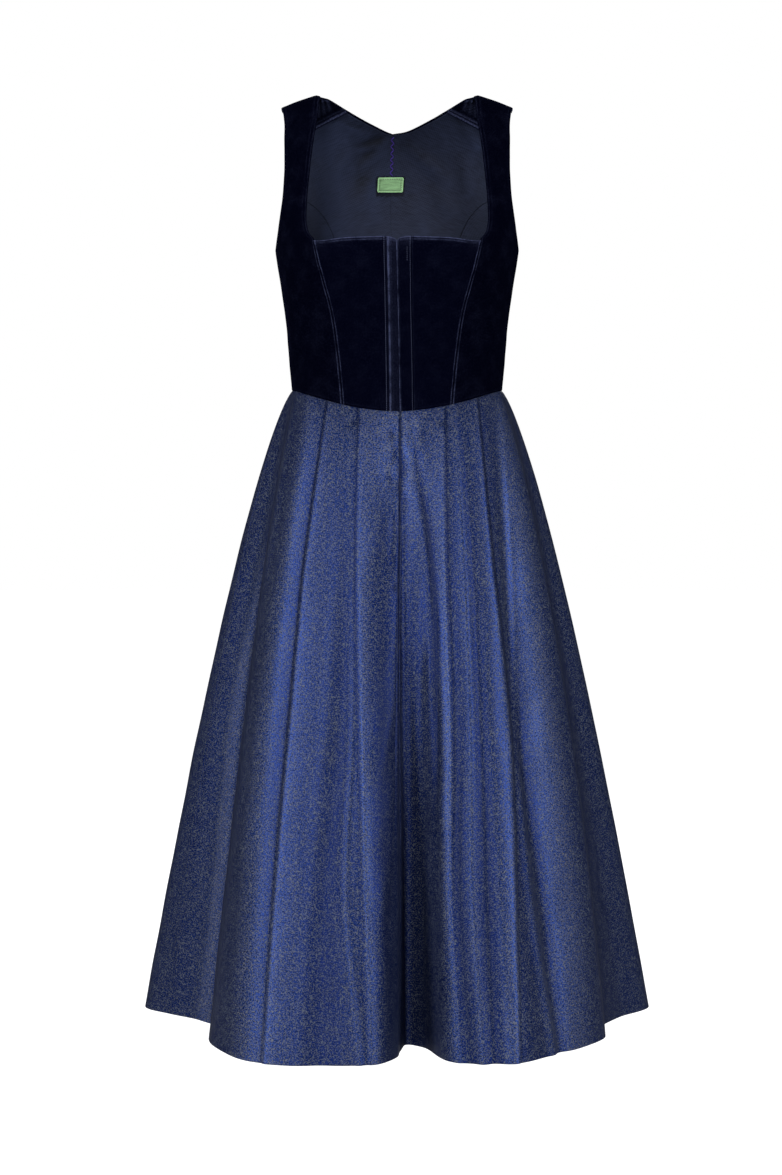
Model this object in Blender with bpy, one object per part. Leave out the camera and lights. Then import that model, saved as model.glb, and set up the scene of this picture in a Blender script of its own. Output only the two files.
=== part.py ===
"""A sleeveless dirndl dress, filled out as it is worn, with nobody in it.

Metres, +Z up, the front towards -Y, +X to the right of someone who faces the front.
The origin is where the wearer's shoulders carry the dress: midway between the inner
ends of the two shoulder seams, so the whole dress hangs below it.

Every piece is a panel of cloth with a real thickness. A panel is a grid of points on
one of two forms, and the same grid moved inwards gives its inner side:
- the bodice form is a stack of oval rings, from the waist seam to the shoulder seam;
- the skirt form is a ring of fold lines, each running from the waist seam to the hem.
"""
import bmesh
import bpy
import numpy as np

OBJECT_NAME = "dirndl"

# Driving sizes of the cloth.
VELVET_WALL = 0.0020
LINING_WALL = 0.0010
FACING_WALL = 0.0018
SKIRT_WALL = 0.0016
LABEL_WALL = 0.0010
SEAM_GAP = 0.0003
WAIST_GAP = 0.0006

# Driving sizes of the dress.
WAIST_SIDE_LEVEL = -0.3685
WAIST_FRONT_DIP = 0.0260
WAIST_BACK_DIP = 0.0120
WAIST_HALF_WIDTH = 0.1305
WAIST_FRONT_DEPTH = 0.0980
WAIST_BACK_DEPTH = 0.0930
WAIST_FULLNESS = 0.18
HEM_LEVEL = -1.1510
SKIRT_FLARE = 0.75
TOP_EDGE_CLEARANCE = 0.006

# The bodice form: one ring for each level, from below the waist seam to the shoulder.
# full_front and full_back square a ring's corners, drop lowers its sides.
STATION_COLUMNS = ("level", "half_width", "front", "back", "full_front", "full_back", "drop")
STATIONS = (
    (-0.4140, 0.1310, 0.0985, 0.0940, 0.18, 0.18, 0.000),
    (-0.3800, 0.1307, 0.0980, 0.0930, 0.18, 0.18, 0.000),
    (-0.3350, 0.1346, 0.1030, 0.0935, 0.20, 0.20, 0.000),
    (-0.2850, 0.1386, 0.1120, 0.0945, 0.24, 0.22, 0.000),
    (-0.2350, 0.1456, 0.1215, 0.0960, 0.30, 0.24, 0.000),
    (-0.1900, 0.1525, 0.1270, 0.0985, 0.34, 0.26, 0.000),
    (-0.1460, 0.1560, 0.1180, 0.1000, 0.30, 0.26, 0.000),
    (-0.0980, 0.1600, 0.0990, 0.0970, 0.24, 0.24, 0.006),
    (-0.0530, 0.1620, 0.0790, 0.0860, 0.20, 0.22, 0.018),
    (-0.0170, 0.1620, 0.0540, 0.0650, 0.18, 0.20, 0.030),
    (0.0050, 0.1620, 0.0280, 0.0360, 0.16, 0.18, 0.036),
    (0.0128, 0.1620, 0.0000, 0.0000, 0.16, 0.18, 0.038),
)

# The bodice's seams and edges. turn is in degrees from the centre front, or for the
# back pieces from the centre back; level is the ring's.
SEAM_COLUMNS = ("turn", "level")
SIDE_SEAM = ((90, -0.3685), (90, -0.333), (90, -0.288), (90, -0.246), (90, -0.217), (90, -0.197))
PRINCESS_FRONT = (
    (30.8, -0.3860), (32.0, -0.333), (34.6, -0.276), (38.4, -0.232), (40.3, -0.209), (41.6, -0.1865),
)
STRAP_INNER = (
    (41.6, -0.1865), (44.3, -0.1798), (45.4, -0.1715), (45.7, -0.159), (44.3, -0.1325), (42.0, -0.100),
    (40.1, -0.069), (38.5, -0.044), (37.1, -0.020), (36.6, 0.002), (35.7, 0.0128),
)
ARMHOLE_FRONT = (
    (90, -0.197), (82, -0.1925), (76, -0.183), (71, -0.168), (64, -0.135), (60.3, -0.100),
    (59.3, -0.070), (59.2, -0.045), (59.4, -0.020), (61, 0.002), (63, 0.0128),
)
PRINCESS_BACK_LOWER = (
    (25.5, -0.3765), (26.0, -0.335), (27.2, -0.285), (28.6, -0.240), (30.2, -0.205), (32.2, -0.171),
)
PRINCESS_BACK_UPPER = ((32.2, -0.171), (34.3, -0.159), (38.0, -0.144), (44.0, -0.131), (54.5, -0.119))
ARMHOLE_BACK_LOWER = ((90, -0.197), (80, -0.191), (71, -0.174), (63.5, -0.150), (58, -0.128))
CENTER_BACK_LOWER = (
    (0, -0.3805), (0.6, -0.335), (1.4, -0.285), (2.0, -0.235), (2.5, -0.190), (2.8, -0.150),
)
CENTER_BACK_UPPER = ((2.8, -0.150), (2.8, -0.125), (2.7, -0.100), (2.3, -0.072), (1.9, -0.0400))
BACK_NECK_LEFT = (
    (1.9, -0.0400), (6.2, -0.035), (15, -0.0219), (23, -0.008), (30.8, 0.006), (35.7, 0.0128),
)
BACK_NECK_RIGHT = (
    (-1.9, -0.0400), (5.2, -0.036), (15, -0.0219), (23, -0.008), (30.8, 0.006), (35.7, 0.0128),
)
ARMHOLE_BACK_UPPER = (
    (54.5, -0.119), (54, -0.092), (54.5, -0.062), (55.6, -0.036), (59.5, -0.003), (63, 0.0128),
)
FACING_FIRST_ROW = 3

# The closing runs down the centre front, and leans a little to the right.
# left, middle and right are turns in degrees.
CLOSING_COLUMNS = ("left", "middle", "right", "level")
CLOSING = (
    (-4.5, 2.0, 8.8, -0.3944), (-4.6, 1.4, 8.1, -0.335), (-4.8, 0.9, 7.3, -0.280),
    (-4.9, 0.4, 6.7, -0.235), (-5.0, 0.2, 6.4, -0.210), (-5.0, 0.0, 6.2, -0.1845),
)

# The label on the back lining: its middle turn and level, its width and its height.
LABEL_TURN = 3.0
LABEL_LEVEL = -0.1030
LABEL_WIDTH = 0.034
LABEL_HEIGHT = 0.020
LABEL_RING = 0.158

# The skirt's fold lines, once round from the left side over the front. waist_turn is
# in degrees from the centre front, hem_x and hem_y are where the line meets the hem,
# sway moves the line along X halfway down, and late is the part of its way in or out
# that it only makes in the skirt's lower half.
FOLD_COLUMNS = ("name", "waist_turn", "hem_x", "hem_y", "sway", "late")
FOLD_LINES = (
    ("side_left", -90, -0.3205, 0.000, 0.000, 0.000),
    ("seam_left", -85, -0.2870, -0.037, -0.006, 0.000),
    ("inlet_left", -79, -0.2400, -0.076, 0.000, 0.000),
    ("pocket_left", -74, -0.2215, -0.108, 0.000, 0.000),
    ("corner_left", -71, -0.2275, -0.172, 0.000, 0.000),
    ("round_left", -66, -0.2130, -0.219, 0.000, 0.000),
    ("panel_left", -56, -0.1750, -0.272, 0.004, 0.000),
    ("crest_left", -40, -0.1200, -0.300, 0.006, 0.000),
    ("flat_left", -24, -0.0600, -0.300, 0.004, 0.000),
    ("lip_left", -9, -0.0180, -0.289, 0.000, 0.000),
    ("lip_center", -1, -0.0010, -0.262, 0.000, 0.024),
    ("wall_center", 1.5, 0.0040, -0.228, 0.000, 0.058),
    ("pocket_center", 4, 0.0120, -0.199, 0.000, 0.086),
    ("outlet_center", 8, 0.0300, -0.212, 0.000, 0.070),
    ("lip_right", 16, 0.0610, -0.278, 0.000, 0.000),
    ("flat_right", 32, 0.0980, -0.292, -0.004, 0.000),
    ("crest_right", 47, 0.1420, -0.287, -0.004, 0.000),
    ("panel_right", 58, 0.1900, -0.238, -0.004, 0.000),
    ("corner_right", 72, 0.2510, -0.163, 0.008, 0.000),
    ("pocket_right", 77, 0.2500, -0.112, 0.006, 0.000),
    ("inlet_right", 82, 0.2790, -0.055, 0.000, 0.000),
    ("side_right", 90, 0.3205, 0.000, 0.000, 0.000),
    ("back_crest_1", 103, 0.2990, 0.078, 0.000, 0.000),
    ("back_valley_1", 112, 0.2560, 0.104, 0.000, 0.000),
    ("back_crest_2", 119, 0.2450, 0.168, 0.000, 0.000),
    ("back_valley_2", 134, 0.1830, 0.202, 0.000, 0.000),
    ("back_crest_3", 142, 0.1520, 0.258, 0.000, 0.000),
    ("back_flat_3", 153, 0.0960, 0.277, 0.000, 0.000),
    ("back_valley_3", 164, 0.0500, 0.238, 0.000, 0.000),
    ("back_crest_4", 174, 0.0200, 0.278, 0.000, 0.000),
    ("back_flat_4", 186, -0.0350, 0.280, 0.000, 0.000),
    ("back_valley_4", 197, -0.0720, 0.241, 0.000, 0.000),
    ("back_crest_5", 206, -0.1080, 0.274, 0.000, 0.000),
    ("back_flat_5", 218, -0.1600, 0.250, 0.000, 0.000),
    ("back_valley_5", 228, -0.1860, 0.196, 0.000, 0.000),
    ("back_crest_6", 238, -0.2420, 0.176, 0.000, 0.000),
    ("back_valley_6", 249, -0.2600, 0.108, 0.000, 0.000),
    ("back_crest_7", 258, -0.3020, 0.072, 0.000, 0.000),
)
LATE_POWER = 1.6

# Softer folds that ride on that form, in millimetres. Kind 0 is a ridge or a furrow. 1 or
# -1 is a pleat, whose upper layer lies to the right or to the left of its line. The five
# places x are at the waist, at each quarter of the height and at the hem, and out is how
# far the fold stands out (or lies in, where negative) at the waist, halfway and at the hem.
MILLIMETRE = 0.001
SOFT_FOLD_COLUMNS = ("name", "side", "kind", "x", "width", "out")
SOFT_FOLDS = (
    ("streak_1", "front", 0, (-126, -160, -197, -225, -252), 8, (1, 3, 3)),
    ("ridge_2", "front", 0, (-102, -130, -160, -171, -178), 14, (2, 5, 4)),
    ("pleat_a", "front", 1, (-85, -111, -129, -145, -157), 26, (3, 5, 5)),
    ("valley_3", "front", 0, (-61, -60, -65, -86, -92), 12, (-1, -4, -5)),
    ("ridge_3b", "front", 0, (-52, -55, -54, -61, -44), 4, (0, 1.5, 2)),
    ("pleat_b", "front", 1, (-47, -50, -46, -41, -33), 11, (3, 5, 4)),
    ("valley_4", "front", 0, (-4, 0, 2, 4, 8), 20, (0, -3, 0)),
    ("pleat_d", "front", 0, (20, 40, 31, 30, 40), 5, (-1, -2, 0)),
    ("pleat_e", "front", -1, (58, 60, 66, 66, 76), 10, (3, 5, 4)),
    ("ridge_6", "front", 0, (81, 84, 86, 83, 97), 8, (1, 2, 3)),
    ("valley_6", "front", 0, (98, 103, 102, 104, 110), 6, (-1, -3, -4)),
    ("pleat_f", "front", -1, (118, 128, 136, 141, 143), 11, (3, 5, 5)),
    ("ridge_8b", "front", 0, (125, 136, 142, 155, 183), 5, (0, 1.5, 3)),
    ("wedge_8", "front", 0, (130, 141, 152, 169, 191), 8, (0, -3, -4)),
    ("ridge_8", "front", 0, (134, 155, 177, 197, 213), 15, (2, 5, 5)),
    ("back_pleat_1", "back", -1, (92, 128, 150, 166, 178), 18, (3, 5, 5)),
    ("back_valley_1", "back", 0, (70, 98, 112, 126, 134), 10, (-1, -3, -4)),
    ("back_pleat_2", "back", -1, (48, 66, 76, 88, 96), 16, (3, 5, 5)),
    ("back_valley_2", "back", 0, (28, 40, 46, 50, 50), 10, (0, -3, -4)),
    ("back_pleat_3", "back", -1, (10, 12, 12, 8, 4), 16, (3, 5, 5)),
    ("back_ridge_3", "back", 0, (-22, -26, -30, -28, -22), 9, (1, 3, 4)),
    ("back_pleat_4", "back", 1, (-44, -58, -70, -82, -92), 18, (3, 5, 5)),
    ("back_valley_4", "back", 0, (-66, -88, -104, -116, -130), 10, (-1, -3, -4)),
    ("back_pleat_5", "back", 1, (-86, -118, -138, -156, -172), 18, (3, 5, 5)),
)
PLEAT_ROLL = 0.0045
PLEAT_FOOT = 0.0015

# Where the skirt's panels are sewn to each other.
SKIRT_SEAMS = ("seam_left", "wall_center", "side_right")

# The shares of the skirt's height where its grid has a row.
SKIRT_ROWS = (0.0, 0.03, 0.09, 0.18, 0.30, 0.44, 0.58, 0.72, 0.86, 1.0)
SKIRT_STEP = 0.0115

PANEL_STEPS_ACROSS = 7
BAND_STEPS_ACROSS = 2
STEPS_PER_ROW = 1

MATERIALS = {
    # name: (base colour, roughness, metallic)
    "velvet": ((0.006, 0.007, 0.030), 0.75, 0.0),
    "lining": ((0.014, 0.017, 0.034), 0.45, 0.0),
    "jacquard": ((0.035, 0.055, 0.200), 0.50, 0.0),
    "label": ((0.110, 0.330, 0.120), 0.70, 0.0),
}


def clear_scene():
    for item in list(bpy.data.objects):
        bpy.data.objects.remove(item, do_unlink=True)


def smooth_through(rows, place, after=None):
    """Read a smooth curve (Catmull-Rom) through a table's rows at a row number."""
    rows = np.asarray(rows, float)
    last = len(rows) - 1
    before = 2 * rows[0] - rows[1]
    if after is None:
        after = 2 * rows[-1] - rows[-2]
    padded = np.vstack([before, rows, after])
    place = np.clip(np.asarray(place, float), 0, last)
    index = np.minimum(place.astype(int), last - 1)
    f = (place - index)[..., None]
    a, b, c, d = padded[index], padded[index + 1], padded[index + 2], padded[index + 3]
    square = 2 * a - 5 * b + 4 * c - d
    cube = 3 * b - a - 3 * c + d
    return 0.5 * (2 * b + (c - a) * f + square * f**2 + cube * f**3)


# Over the shoulder the rings go on as on the way up, with front and back exchanged.
OVER_SHOULDER = np.array(STATIONS[-2]) * np.array((1, 1, -1, -1, 1, 1, 1))
LAST_RING = len(STATIONS) - 1
FINE_PLACES = np.linspace(0, LAST_RING, 1101)
FINE_LEVELS = smooth_through(STATIONS, FINE_PLACES, OVER_SHOULDER)[:, 0]


def ring_place(level):
    """The row number in STATIONS of a ring's level, ending just short of the shoulder seam."""
    place = np.interp(level, FINE_LEVELS, FINE_PLACES)
    return np.minimum(place, LAST_RING - TOP_EDGE_CLEARANCE)


def bodice_point(turn, level):
    """The bodice form at a turn from the centre front (radians) and a ring's level."""
    return form_point(turn, ring_place(level))


def form_point(turn, place):
    """The bodice form at a turn and a row number of STATIONS, also over the shoulder."""
    turn = np.where(place > LAST_RING, np.pi - turn, turn)
    place = LAST_RING - np.abs(LAST_RING - place)
    ring = smooth_through(STATIONS, place, OVER_SHOULDER)
    _, half_width, front, back, full_front, full_back, drop = np.moveaxis(ring, -1, 0)
    sine, cosine = np.sin(turn), np.cos(turn)
    depth = np.where(cosine >= 0, front, back)
    fullness = np.where(cosine >= 0, full_front, full_back)
    y = -depth * cosine * (1 + fullness * sine**2)
    return np.stack([half_width * sine, y, ring[..., 0] - drop * sine**2], -1)


def waist_level(turn):
    """The waist seam dips towards the centre front, and less towards the centre back."""
    cosine = np.cos(turn)
    dip = np.where(cosine >= 0, WAIST_FRONT_DIP * np.abs(cosine)**2.5, WAIST_BACK_DIP * cosine**2)
    return WAIST_SIDE_LEVEL - dip


def edge_line(stretches, steps):
    """One edge of a panel: stretches of seam, each smooth, that meet at corners."""
    points = []
    for rows in stretches:
        place = np.linspace(0, len(rows) - 1, (len(rows) - 1) * steps + 1)
        stretch = smooth_through(rows, place)
        points.append(stretch if not points else stretch[1:])
    return np.vstack(points)


def panel_grid(inner, outer, side, back, steps_across):
    """Turns and levels of a panel's grid, row by row from its waist to its top.

    inner and outer are lists of seam stretches with as many rows as each other. side
    is -1 on the left and 1 on the right, and back says that turns count from behind.
    """
    inner_edge = edge_line(inner, STEPS_PER_ROW)
    outer_edge = edge_line(outer, STEPS_PER_ROW)
    share = np.linspace(0, 1, steps_across + 1)[None, :, None]
    grid = inner_edge[:, None, :] * (1 - share) + outer_edge[:, None, :] * share
    turn = np.radians(grid[..., 0])
    turn = (np.pi - turn if back else turn) * side
    level = grid[..., 1]
    level[0] = waist_level(turn[0])
    return turn, level


def inset_grid(turn, level, gap):
    """Pull a grid's two long edges in by half the seam gap."""
    points = bodice_point(turn, level)
    width = np.linalg.norm(np.diff(points, axis=1), axis=2).sum(axis=1)
    share = np.linspace(0, 1, turn.shape[1])[None, :]
    inset = (gap / 2 / width)[:, None]
    place = (inset + share * (1 - 2 * inset)) * (turn.shape[1] - 1)
    index = np.minimum(place.astype(int), turn.shape[1] - 2)
    f = place - index
    row = np.arange(turn.shape[0])[:, None]
    turn = turn[row, index] * (1 - f) + turn[row, index + 1] * f
    level = level[row, index] * (1 - f) + level[row, index + 1] * f
    return turn, level


def bodice_normal(turn, level):
    """The bodice form's outward normals, from small steps round and up."""
    step = 0.01
    place = ring_place(level)
    around = form_point(turn + step, place) - form_point(turn - step, place)
    upwards = form_point(turn, place + step) - form_point(turn, place - step)
    normal = np.cross(around, upwards)
    return normal / np.linalg.norm(normal, axis=-1, keepdims=True)


def wall_mesh(outer, inner):
    """A closed wall between two grids of points of the same shape."""
    rows, columns = outer.shape[:2]
    mesh = bmesh.new()
    skins = []
    for grid in (outer, inner):
        skins.append([[mesh.verts.new(point) for point in row] for row in grid.tolist()])
    front, rear = skins

    def quad(a, b, c, d):
        mesh.faces.new((a, b, c, d))

    for r in range(rows - 1):
        for c in range(columns - 1):
            quad(front[r][c], front[r][c + 1], front[r + 1][c + 1], front[r + 1][c])
            quad(rear[r][c], rear[r + 1][c], rear[r + 1][c + 1], rear[r][c + 1])
        quad(front[r][0], front[r + 1][0], rear[r + 1][0], rear[r][0])
        quad(front[r][-1], rear[r][-1], rear[r + 1][-1], front[r + 1][-1])
    for c in range(columns - 1):
        quad(front[0][c], rear[0][c], rear[0][c + 1], front[0][c + 1])
        quad(front[-1][c], front[-1][c + 1], rear[-1][c + 1], rear[-1][c])
    bmesh.ops.triangulate(mesh, faces=mesh.faces[:])
    bmesh.ops.recalc_face_normals(mesh, faces=mesh.faces[:])
    return mesh


def add_object(name, mesh, material_name):
    data = bpy.data.meshes.new(name)
    mesh.to_mesh(data)
    mesh.free()
    data.shade_smooth()
    data.set_sharp_from_angle(angle=np.radians(50))
    item = bpy.data.objects.new(name, data)
    collection = bpy.data.collections.get(OBJECT_NAME)
    if collection is None:
        collection = bpy.data.collections.new(OBJECT_NAME)
        bpy.context.scene.collection.children.link(collection)
    collection.objects.link(item)
    item.data.materials.append(new_material(name, material_name))
    return item


def new_material(name, kind):
    colour, roughness, metallic = MATERIALS[kind]
    material = bpy.data.materials.new(name + "_" + kind)
    material.use_nodes = True
    shader = material.node_tree.nodes["Principled BSDF"]
    shader.inputs["Base Color"].default_value = (*colour, 1)
    shader.inputs["Roughness"].default_value = roughness
    shader.inputs["Metallic"].default_value = metallic
    material.diffuse_color = (*colour, 1)
    return material


def bodice_panel(name, turn, level, outside, wall, material):
    """A panel on the bodice form: outside is how far its outer side lies inwards."""
    turn, level = inset_grid(turn, level, SEAM_GAP)
    points = bodice_point(turn, level)
    normals = bodice_normal(turn, level)
    mesh = wall_mesh(points - normals * outside, points - normals * (outside + wall))
    return add_object(name, mesh, material)


def build_bodice_front():
    closing = np.array(CLOSING)
    levels = closing[:, 3]
    for side, word, column in ((-1, "left", 0), (1, "right", 2)):
        band_edge = list(zip(closing[:, column] * side, levels))
        middle_edge = list(zip(closing[:, 1] * side, levels))
        turn, level = panel_grid([middle_edge], [band_edge], side, False, BAND_STEPS_ACROSS)
        bodice_panel("closure_band_" + word, turn, level, 0.0, VELVET_WALL, "velvet")
        turn, level = panel_grid([band_edge], [PRINCESS_FRONT], side, False, PANEL_STEPS_ACROSS - 1)
        bodice_panel("bodice_center_front_" + word, turn, level, 0.0, VELVET_WALL, "velvet")
        turn, level = panel_grid(
            [PRINCESS_FRONT, STRAP_INNER], [SIDE_SEAM, ARMHOLE_FRONT], side, False, PANEL_STEPS_ACROSS
        )
        bodice_panel("bodice_side_front_" + word, turn, level, 0.0, VELVET_WALL, "velvet")


def build_bodice_back():
    center_outer = [PRINCESS_BACK_LOWER, PRINCESS_BACK_UPPER, ARMHOLE_BACK_UPPER]
    side_inner = [PRINCESS_BACK_LOWER, PRINCESS_BACK_UPPER]
    side_outer = [SIDE_SEAM, ARMHOLE_BACK_LOWER]
    lining_outside = VELVET_WALL + SEAM_GAP
    facing_row = len(CENTER_BACK_LOWER) + len(CENTER_BACK_UPPER) - 2 + FACING_FIRST_ROW
    for side, word in ((-1, "left"), (1, "right")):
        seam = [
            [(turn * -side, level) for turn, level in rows]
            for rows in (CENTER_BACK_LOWER, CENTER_BACK_UPPER)
        ]
        center_inner = seam + [BACK_NECK_LEFT if side < 0 else BACK_NECK_RIGHT]
        turn, level = panel_grid(center_inner, center_outer, side, True, PANEL_STEPS_ACROSS)
        bodice_panel("bodice_center_back_" + word, turn, level, 0.0, VELVET_WALL, "velvet")
        low = slice(None, facing_row + 1)
        bodice_panel(
            "lining_center_back_" + word, turn[low], level[low], lining_outside, LINING_WALL, "lining"
        )
        high_turn, high_level = turn[facing_row:], level[facing_row:].copy()
        high_level[0] += SEAM_GAP
        bodice_panel("shoulder_facing_" + word, high_turn, high_level, lining_outside, FACING_WALL, "velvet")
        turn, level = panel_grid(side_inner, side_outer, side, True, PANEL_STEPS_ACROSS - 1)
        bodice_panel("bodice_side_back_" + word, turn, level, 0.0, VELVET_WALL, "velvet")
        bodice_panel("lining_side_back_" + word, turn, level, lining_outside, LINING_WALL, "lining")


def build_label():
    """A small woven label on the back lining, made from the form's own points."""
    reach = LABEL_WIDTH / 2 / LABEL_RING
    middle = np.pi + np.radians(LABEL_TURN)
    turn = np.linspace(middle + reach, middle - reach, 5)[None, :].repeat(3, axis=0)
    half = LABEL_HEIGHT / 2
    level = np.linspace(LABEL_LEVEL - half, LABEL_LEVEL + half, 3)[:, None].repeat(5, axis=1)
    outside = VELVET_WALL + LINING_WALL + 2 * SEAM_GAP
    points = bodice_point(turn, level)
    normals = bodice_normal(turn, level)
    mesh = wall_mesh(points - normals * outside, points - normals * (outside + LABEL_WALL))
    add_object("label", mesh, "label")


def fold_rings(shares):
    """Where each fold line stands at each share of the skirt's height: rings x lines x XY."""
    table = np.array([row[1:] for row in FOLD_LINES], float)
    turn = np.radians(table[:, 0])
    depth = np.where(np.cos(turn) >= 0, WAIST_FRONT_DEPTH, WAIST_BACK_DEPTH)
    sine, cosine = np.sin(turn), np.cos(turn)
    waist = np.stack([WAIST_HALF_WIDTH * sine, -depth * cosine * (1 + WAIST_FULLNESS * sine**2)], -1)
    hem = table[:, 1:3]
    share = np.asarray(shares, float)[:, None, None]
    rings = waist + (hem - waist) * share**SKIRT_FLARE
    rings[..., 0] += table[:, 3] * 4 * share[..., 0] * (1 - share[..., 0])
    rings[..., 1] += table[:, 4] * (share[..., 0] ** LATE_POWER - share[..., 0] ** SKIRT_FLARE)
    return rings


def ring_knots():
    """The fold lines' places along a ring, so that close lines turn tighter."""
    hem = np.array([row[2:4] for row in FOLD_LINES], float)
    lengths = np.linalg.norm(np.roll(hem, -1, axis=0) - hem, axis=1)
    return np.concatenate([[0], np.cumsum(np.sqrt(lengths))]), lengths


def ring_curve(rings, places):
    """A closed smooth curve through the fold lines (cubic, with fitted tangents)."""
    knots, _ = ring_knots()
    count = rings.shape[1]
    steps = np.diff(knots)[None, :, None]
    chords = (np.roll(rings, -1, axis=1) - rings) / steps
    before, step_before = np.roll(chords, 1, axis=1), np.roll(steps, 1, axis=1)
    tangents = (before * steps + chords * step_before) / (steps + step_before)
    place = np.mod(places, knots[-1])
    index = np.clip(np.searchsorted(knots, place, side="right") - 1, 0, count - 1)
    following = (index + 1) % count
    f = ((place - knots[index]) / (knots[index + 1] - knots[index]))[None, :, None]
    step = (knots[index + 1] - knots[index])[None, :, None]
    return (
        (2 * f**3 - 3 * f**2 + 1) * rings[:, index] + (f**3 - 2 * f**2 + f) * step * tangents[:, index]
        + (3 * f**2 - 2 * f**3) * rings[:, following] + (f**3 - f**2) * step * tangents[:, following]
    )


def ring_turns(places):
    """The turn at the waist that belongs to each place along a ring, in radians."""
    knots, _ = ring_knots()
    turns = np.array([row[1] for row in FOLD_LINES] + [FOLD_LINES[0][1] + 360], float)
    return np.radians(np.interp(places, knots, turns))


def along_fold(share, values):
    """Smooth curve through values in millimetres, given evenly from the waist to the hem."""
    rows = np.array(values, float)[:, None] * MILLIMETRE
    return smooth_through(rows, share * (len(values) - 1))[..., 0]


def pleat_profile(inward, width):
    """Section of a pleat: a quick round rise at its edge and a slow fall behind it."""
    u = PLEAT_FOOT * np.logaddexp(0, inward / PLEAT_FOOT)
    return (1 - np.exp(-u / PLEAT_ROLL)) * np.exp(-u / width)


def soft_fold_height(plan, outward, share):
    """How far the soft folds stand out, on the side of the skirt where each is seen."""
    height = np.zeros(plan.shape[:2])
    for _, side, kind, x, width, out in SOFT_FOLDS:
        away = plan[..., 0] - along_fold(share, x)
        spread = width * MILLIMETRE * (0.55 + 0.55 * share)
        facing = -outward[..., 1] if side == "front" else outward[..., 1]
        seen = np.clip((facing - 0.15) / 0.45, 0, 1)
        section = pleat_profile(away * kind, spread) if kind else np.exp(-((away / spread) ** 2))
        height += seen * along_fold(share, out) * section
    return height


def skirt_points(places, shares):
    """The skirt form's points and outward normals at places along its rings."""
    rings = fold_rings(shares)
    plan = ring_curve(rings, places)
    nudge = 1e-4
    tangent = ring_curve(rings, places + nudge) - ring_curve(rings, places - nudge)
    tangent /= np.linalg.norm(tangent, axis=-1, keepdims=True)
    outward = np.stack([tangent[..., 1], -tangent[..., 0], np.zeros(tangent.shape[:2])], -1)
    share = np.asarray(shares, float)[:, None]
    plan += outward[..., :2] * soft_fold_height(plan, outward, share)[..., None]
    top = waist_level(ring_turns(places))[None, :] - WAIST_GAP
    level = top + (HEM_LEVEL - top) * share
    return np.concatenate([plan, level[..., None]], axis=-1), outward


def build_skirt():
    knots, lengths = ring_knots()
    names = [row[0] for row in FOLD_LINES]
    seams = [names.index(name) for name in SKIRT_SEAMS]
    panels = (
        ("skirt_front_left", seams[0], seams[1]),
        ("skirt_front_right", seams[1], seams[2]),
        ("skirt_back", seams[2], seams[0] + len(names)),
    )
    for name, first, last in panels:
        places = []
        for line in range(first, last):
            at = line % len(names)
            count = max(2, int(round(lengths[at] / SKIRT_STEP)))
            start = knots[at] + (knots[-1] if line >= len(names) else 0)
            places.append(start + np.linspace(0, knots[at + 1] - knots[at], count + 1)[:-1])
        end = knots[last % len(names)] + (knots[-1] if last >= len(names) else 0)
        places = np.append(np.concatenate(places), end)
        width = np.sqrt(lengths[first % len(names)])
        places[0] += SEAM_GAP / 2 / width
        places[-1] -= SEAM_GAP / 2 / np.sqrt(lengths[(last - 1) % len(names)])
        points, outward = skirt_points(places, SKIRT_ROWS)
        flipped_points, flipped_outward = points[::-1], outward[::-1]
        mesh = wall_mesh(flipped_points, flipped_points - flipped_outward * SKIRT_WALL)
        add_object(name, mesh, "jacquard")


def main():
    clear_scene()
    build_bodice_front()
    build_bodice_back()
    build_label()
    build_skirt()


main()
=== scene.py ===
# %% [markdown]
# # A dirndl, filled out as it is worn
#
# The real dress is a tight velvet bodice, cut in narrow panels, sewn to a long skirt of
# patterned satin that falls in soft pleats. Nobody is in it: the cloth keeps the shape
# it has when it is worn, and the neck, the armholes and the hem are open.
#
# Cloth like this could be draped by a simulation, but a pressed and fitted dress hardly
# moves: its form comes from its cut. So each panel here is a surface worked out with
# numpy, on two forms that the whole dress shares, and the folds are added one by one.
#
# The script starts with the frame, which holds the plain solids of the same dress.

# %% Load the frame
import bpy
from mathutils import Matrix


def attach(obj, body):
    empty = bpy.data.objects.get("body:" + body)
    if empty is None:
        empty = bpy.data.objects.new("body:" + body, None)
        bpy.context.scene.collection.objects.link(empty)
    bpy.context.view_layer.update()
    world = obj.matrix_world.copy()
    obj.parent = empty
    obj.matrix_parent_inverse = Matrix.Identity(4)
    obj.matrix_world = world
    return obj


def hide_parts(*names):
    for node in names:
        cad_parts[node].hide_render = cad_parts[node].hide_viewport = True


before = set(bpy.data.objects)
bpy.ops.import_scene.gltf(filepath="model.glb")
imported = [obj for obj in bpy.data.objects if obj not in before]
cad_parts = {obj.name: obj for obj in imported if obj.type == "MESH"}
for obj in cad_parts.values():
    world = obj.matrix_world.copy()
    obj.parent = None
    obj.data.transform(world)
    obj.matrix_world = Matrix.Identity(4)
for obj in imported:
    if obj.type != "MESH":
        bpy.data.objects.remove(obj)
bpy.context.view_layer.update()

import bpy
import numpy as np
from mathutils import Vector

MM = 0.001
BODY = "root"
SIDES = ((-1, "left"), (1, "right"))
print("nodes in the frame:", len(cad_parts))

# %% [markdown]
# ## Camera
#
# The photograph was taken from a little above the middle of the dress, some three metres
# away. The camera's tilt and the focal length follow from three numbers: the distance,
# the real size of a picture element at the side seams, and the height of the lens.

# %% Camera
PICTURE_WIDTH = 782
PICTURE_HEIGHT = 1175
METRES_PER_PIXEL = 1.26e-3
CAMERA_DISTANCE = 3.2
CAMERA_RISE = 0.20
AXIS_PIXEL = 397
AIM_LEVEL = -0.6155
SENSOR = 36.0

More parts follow.
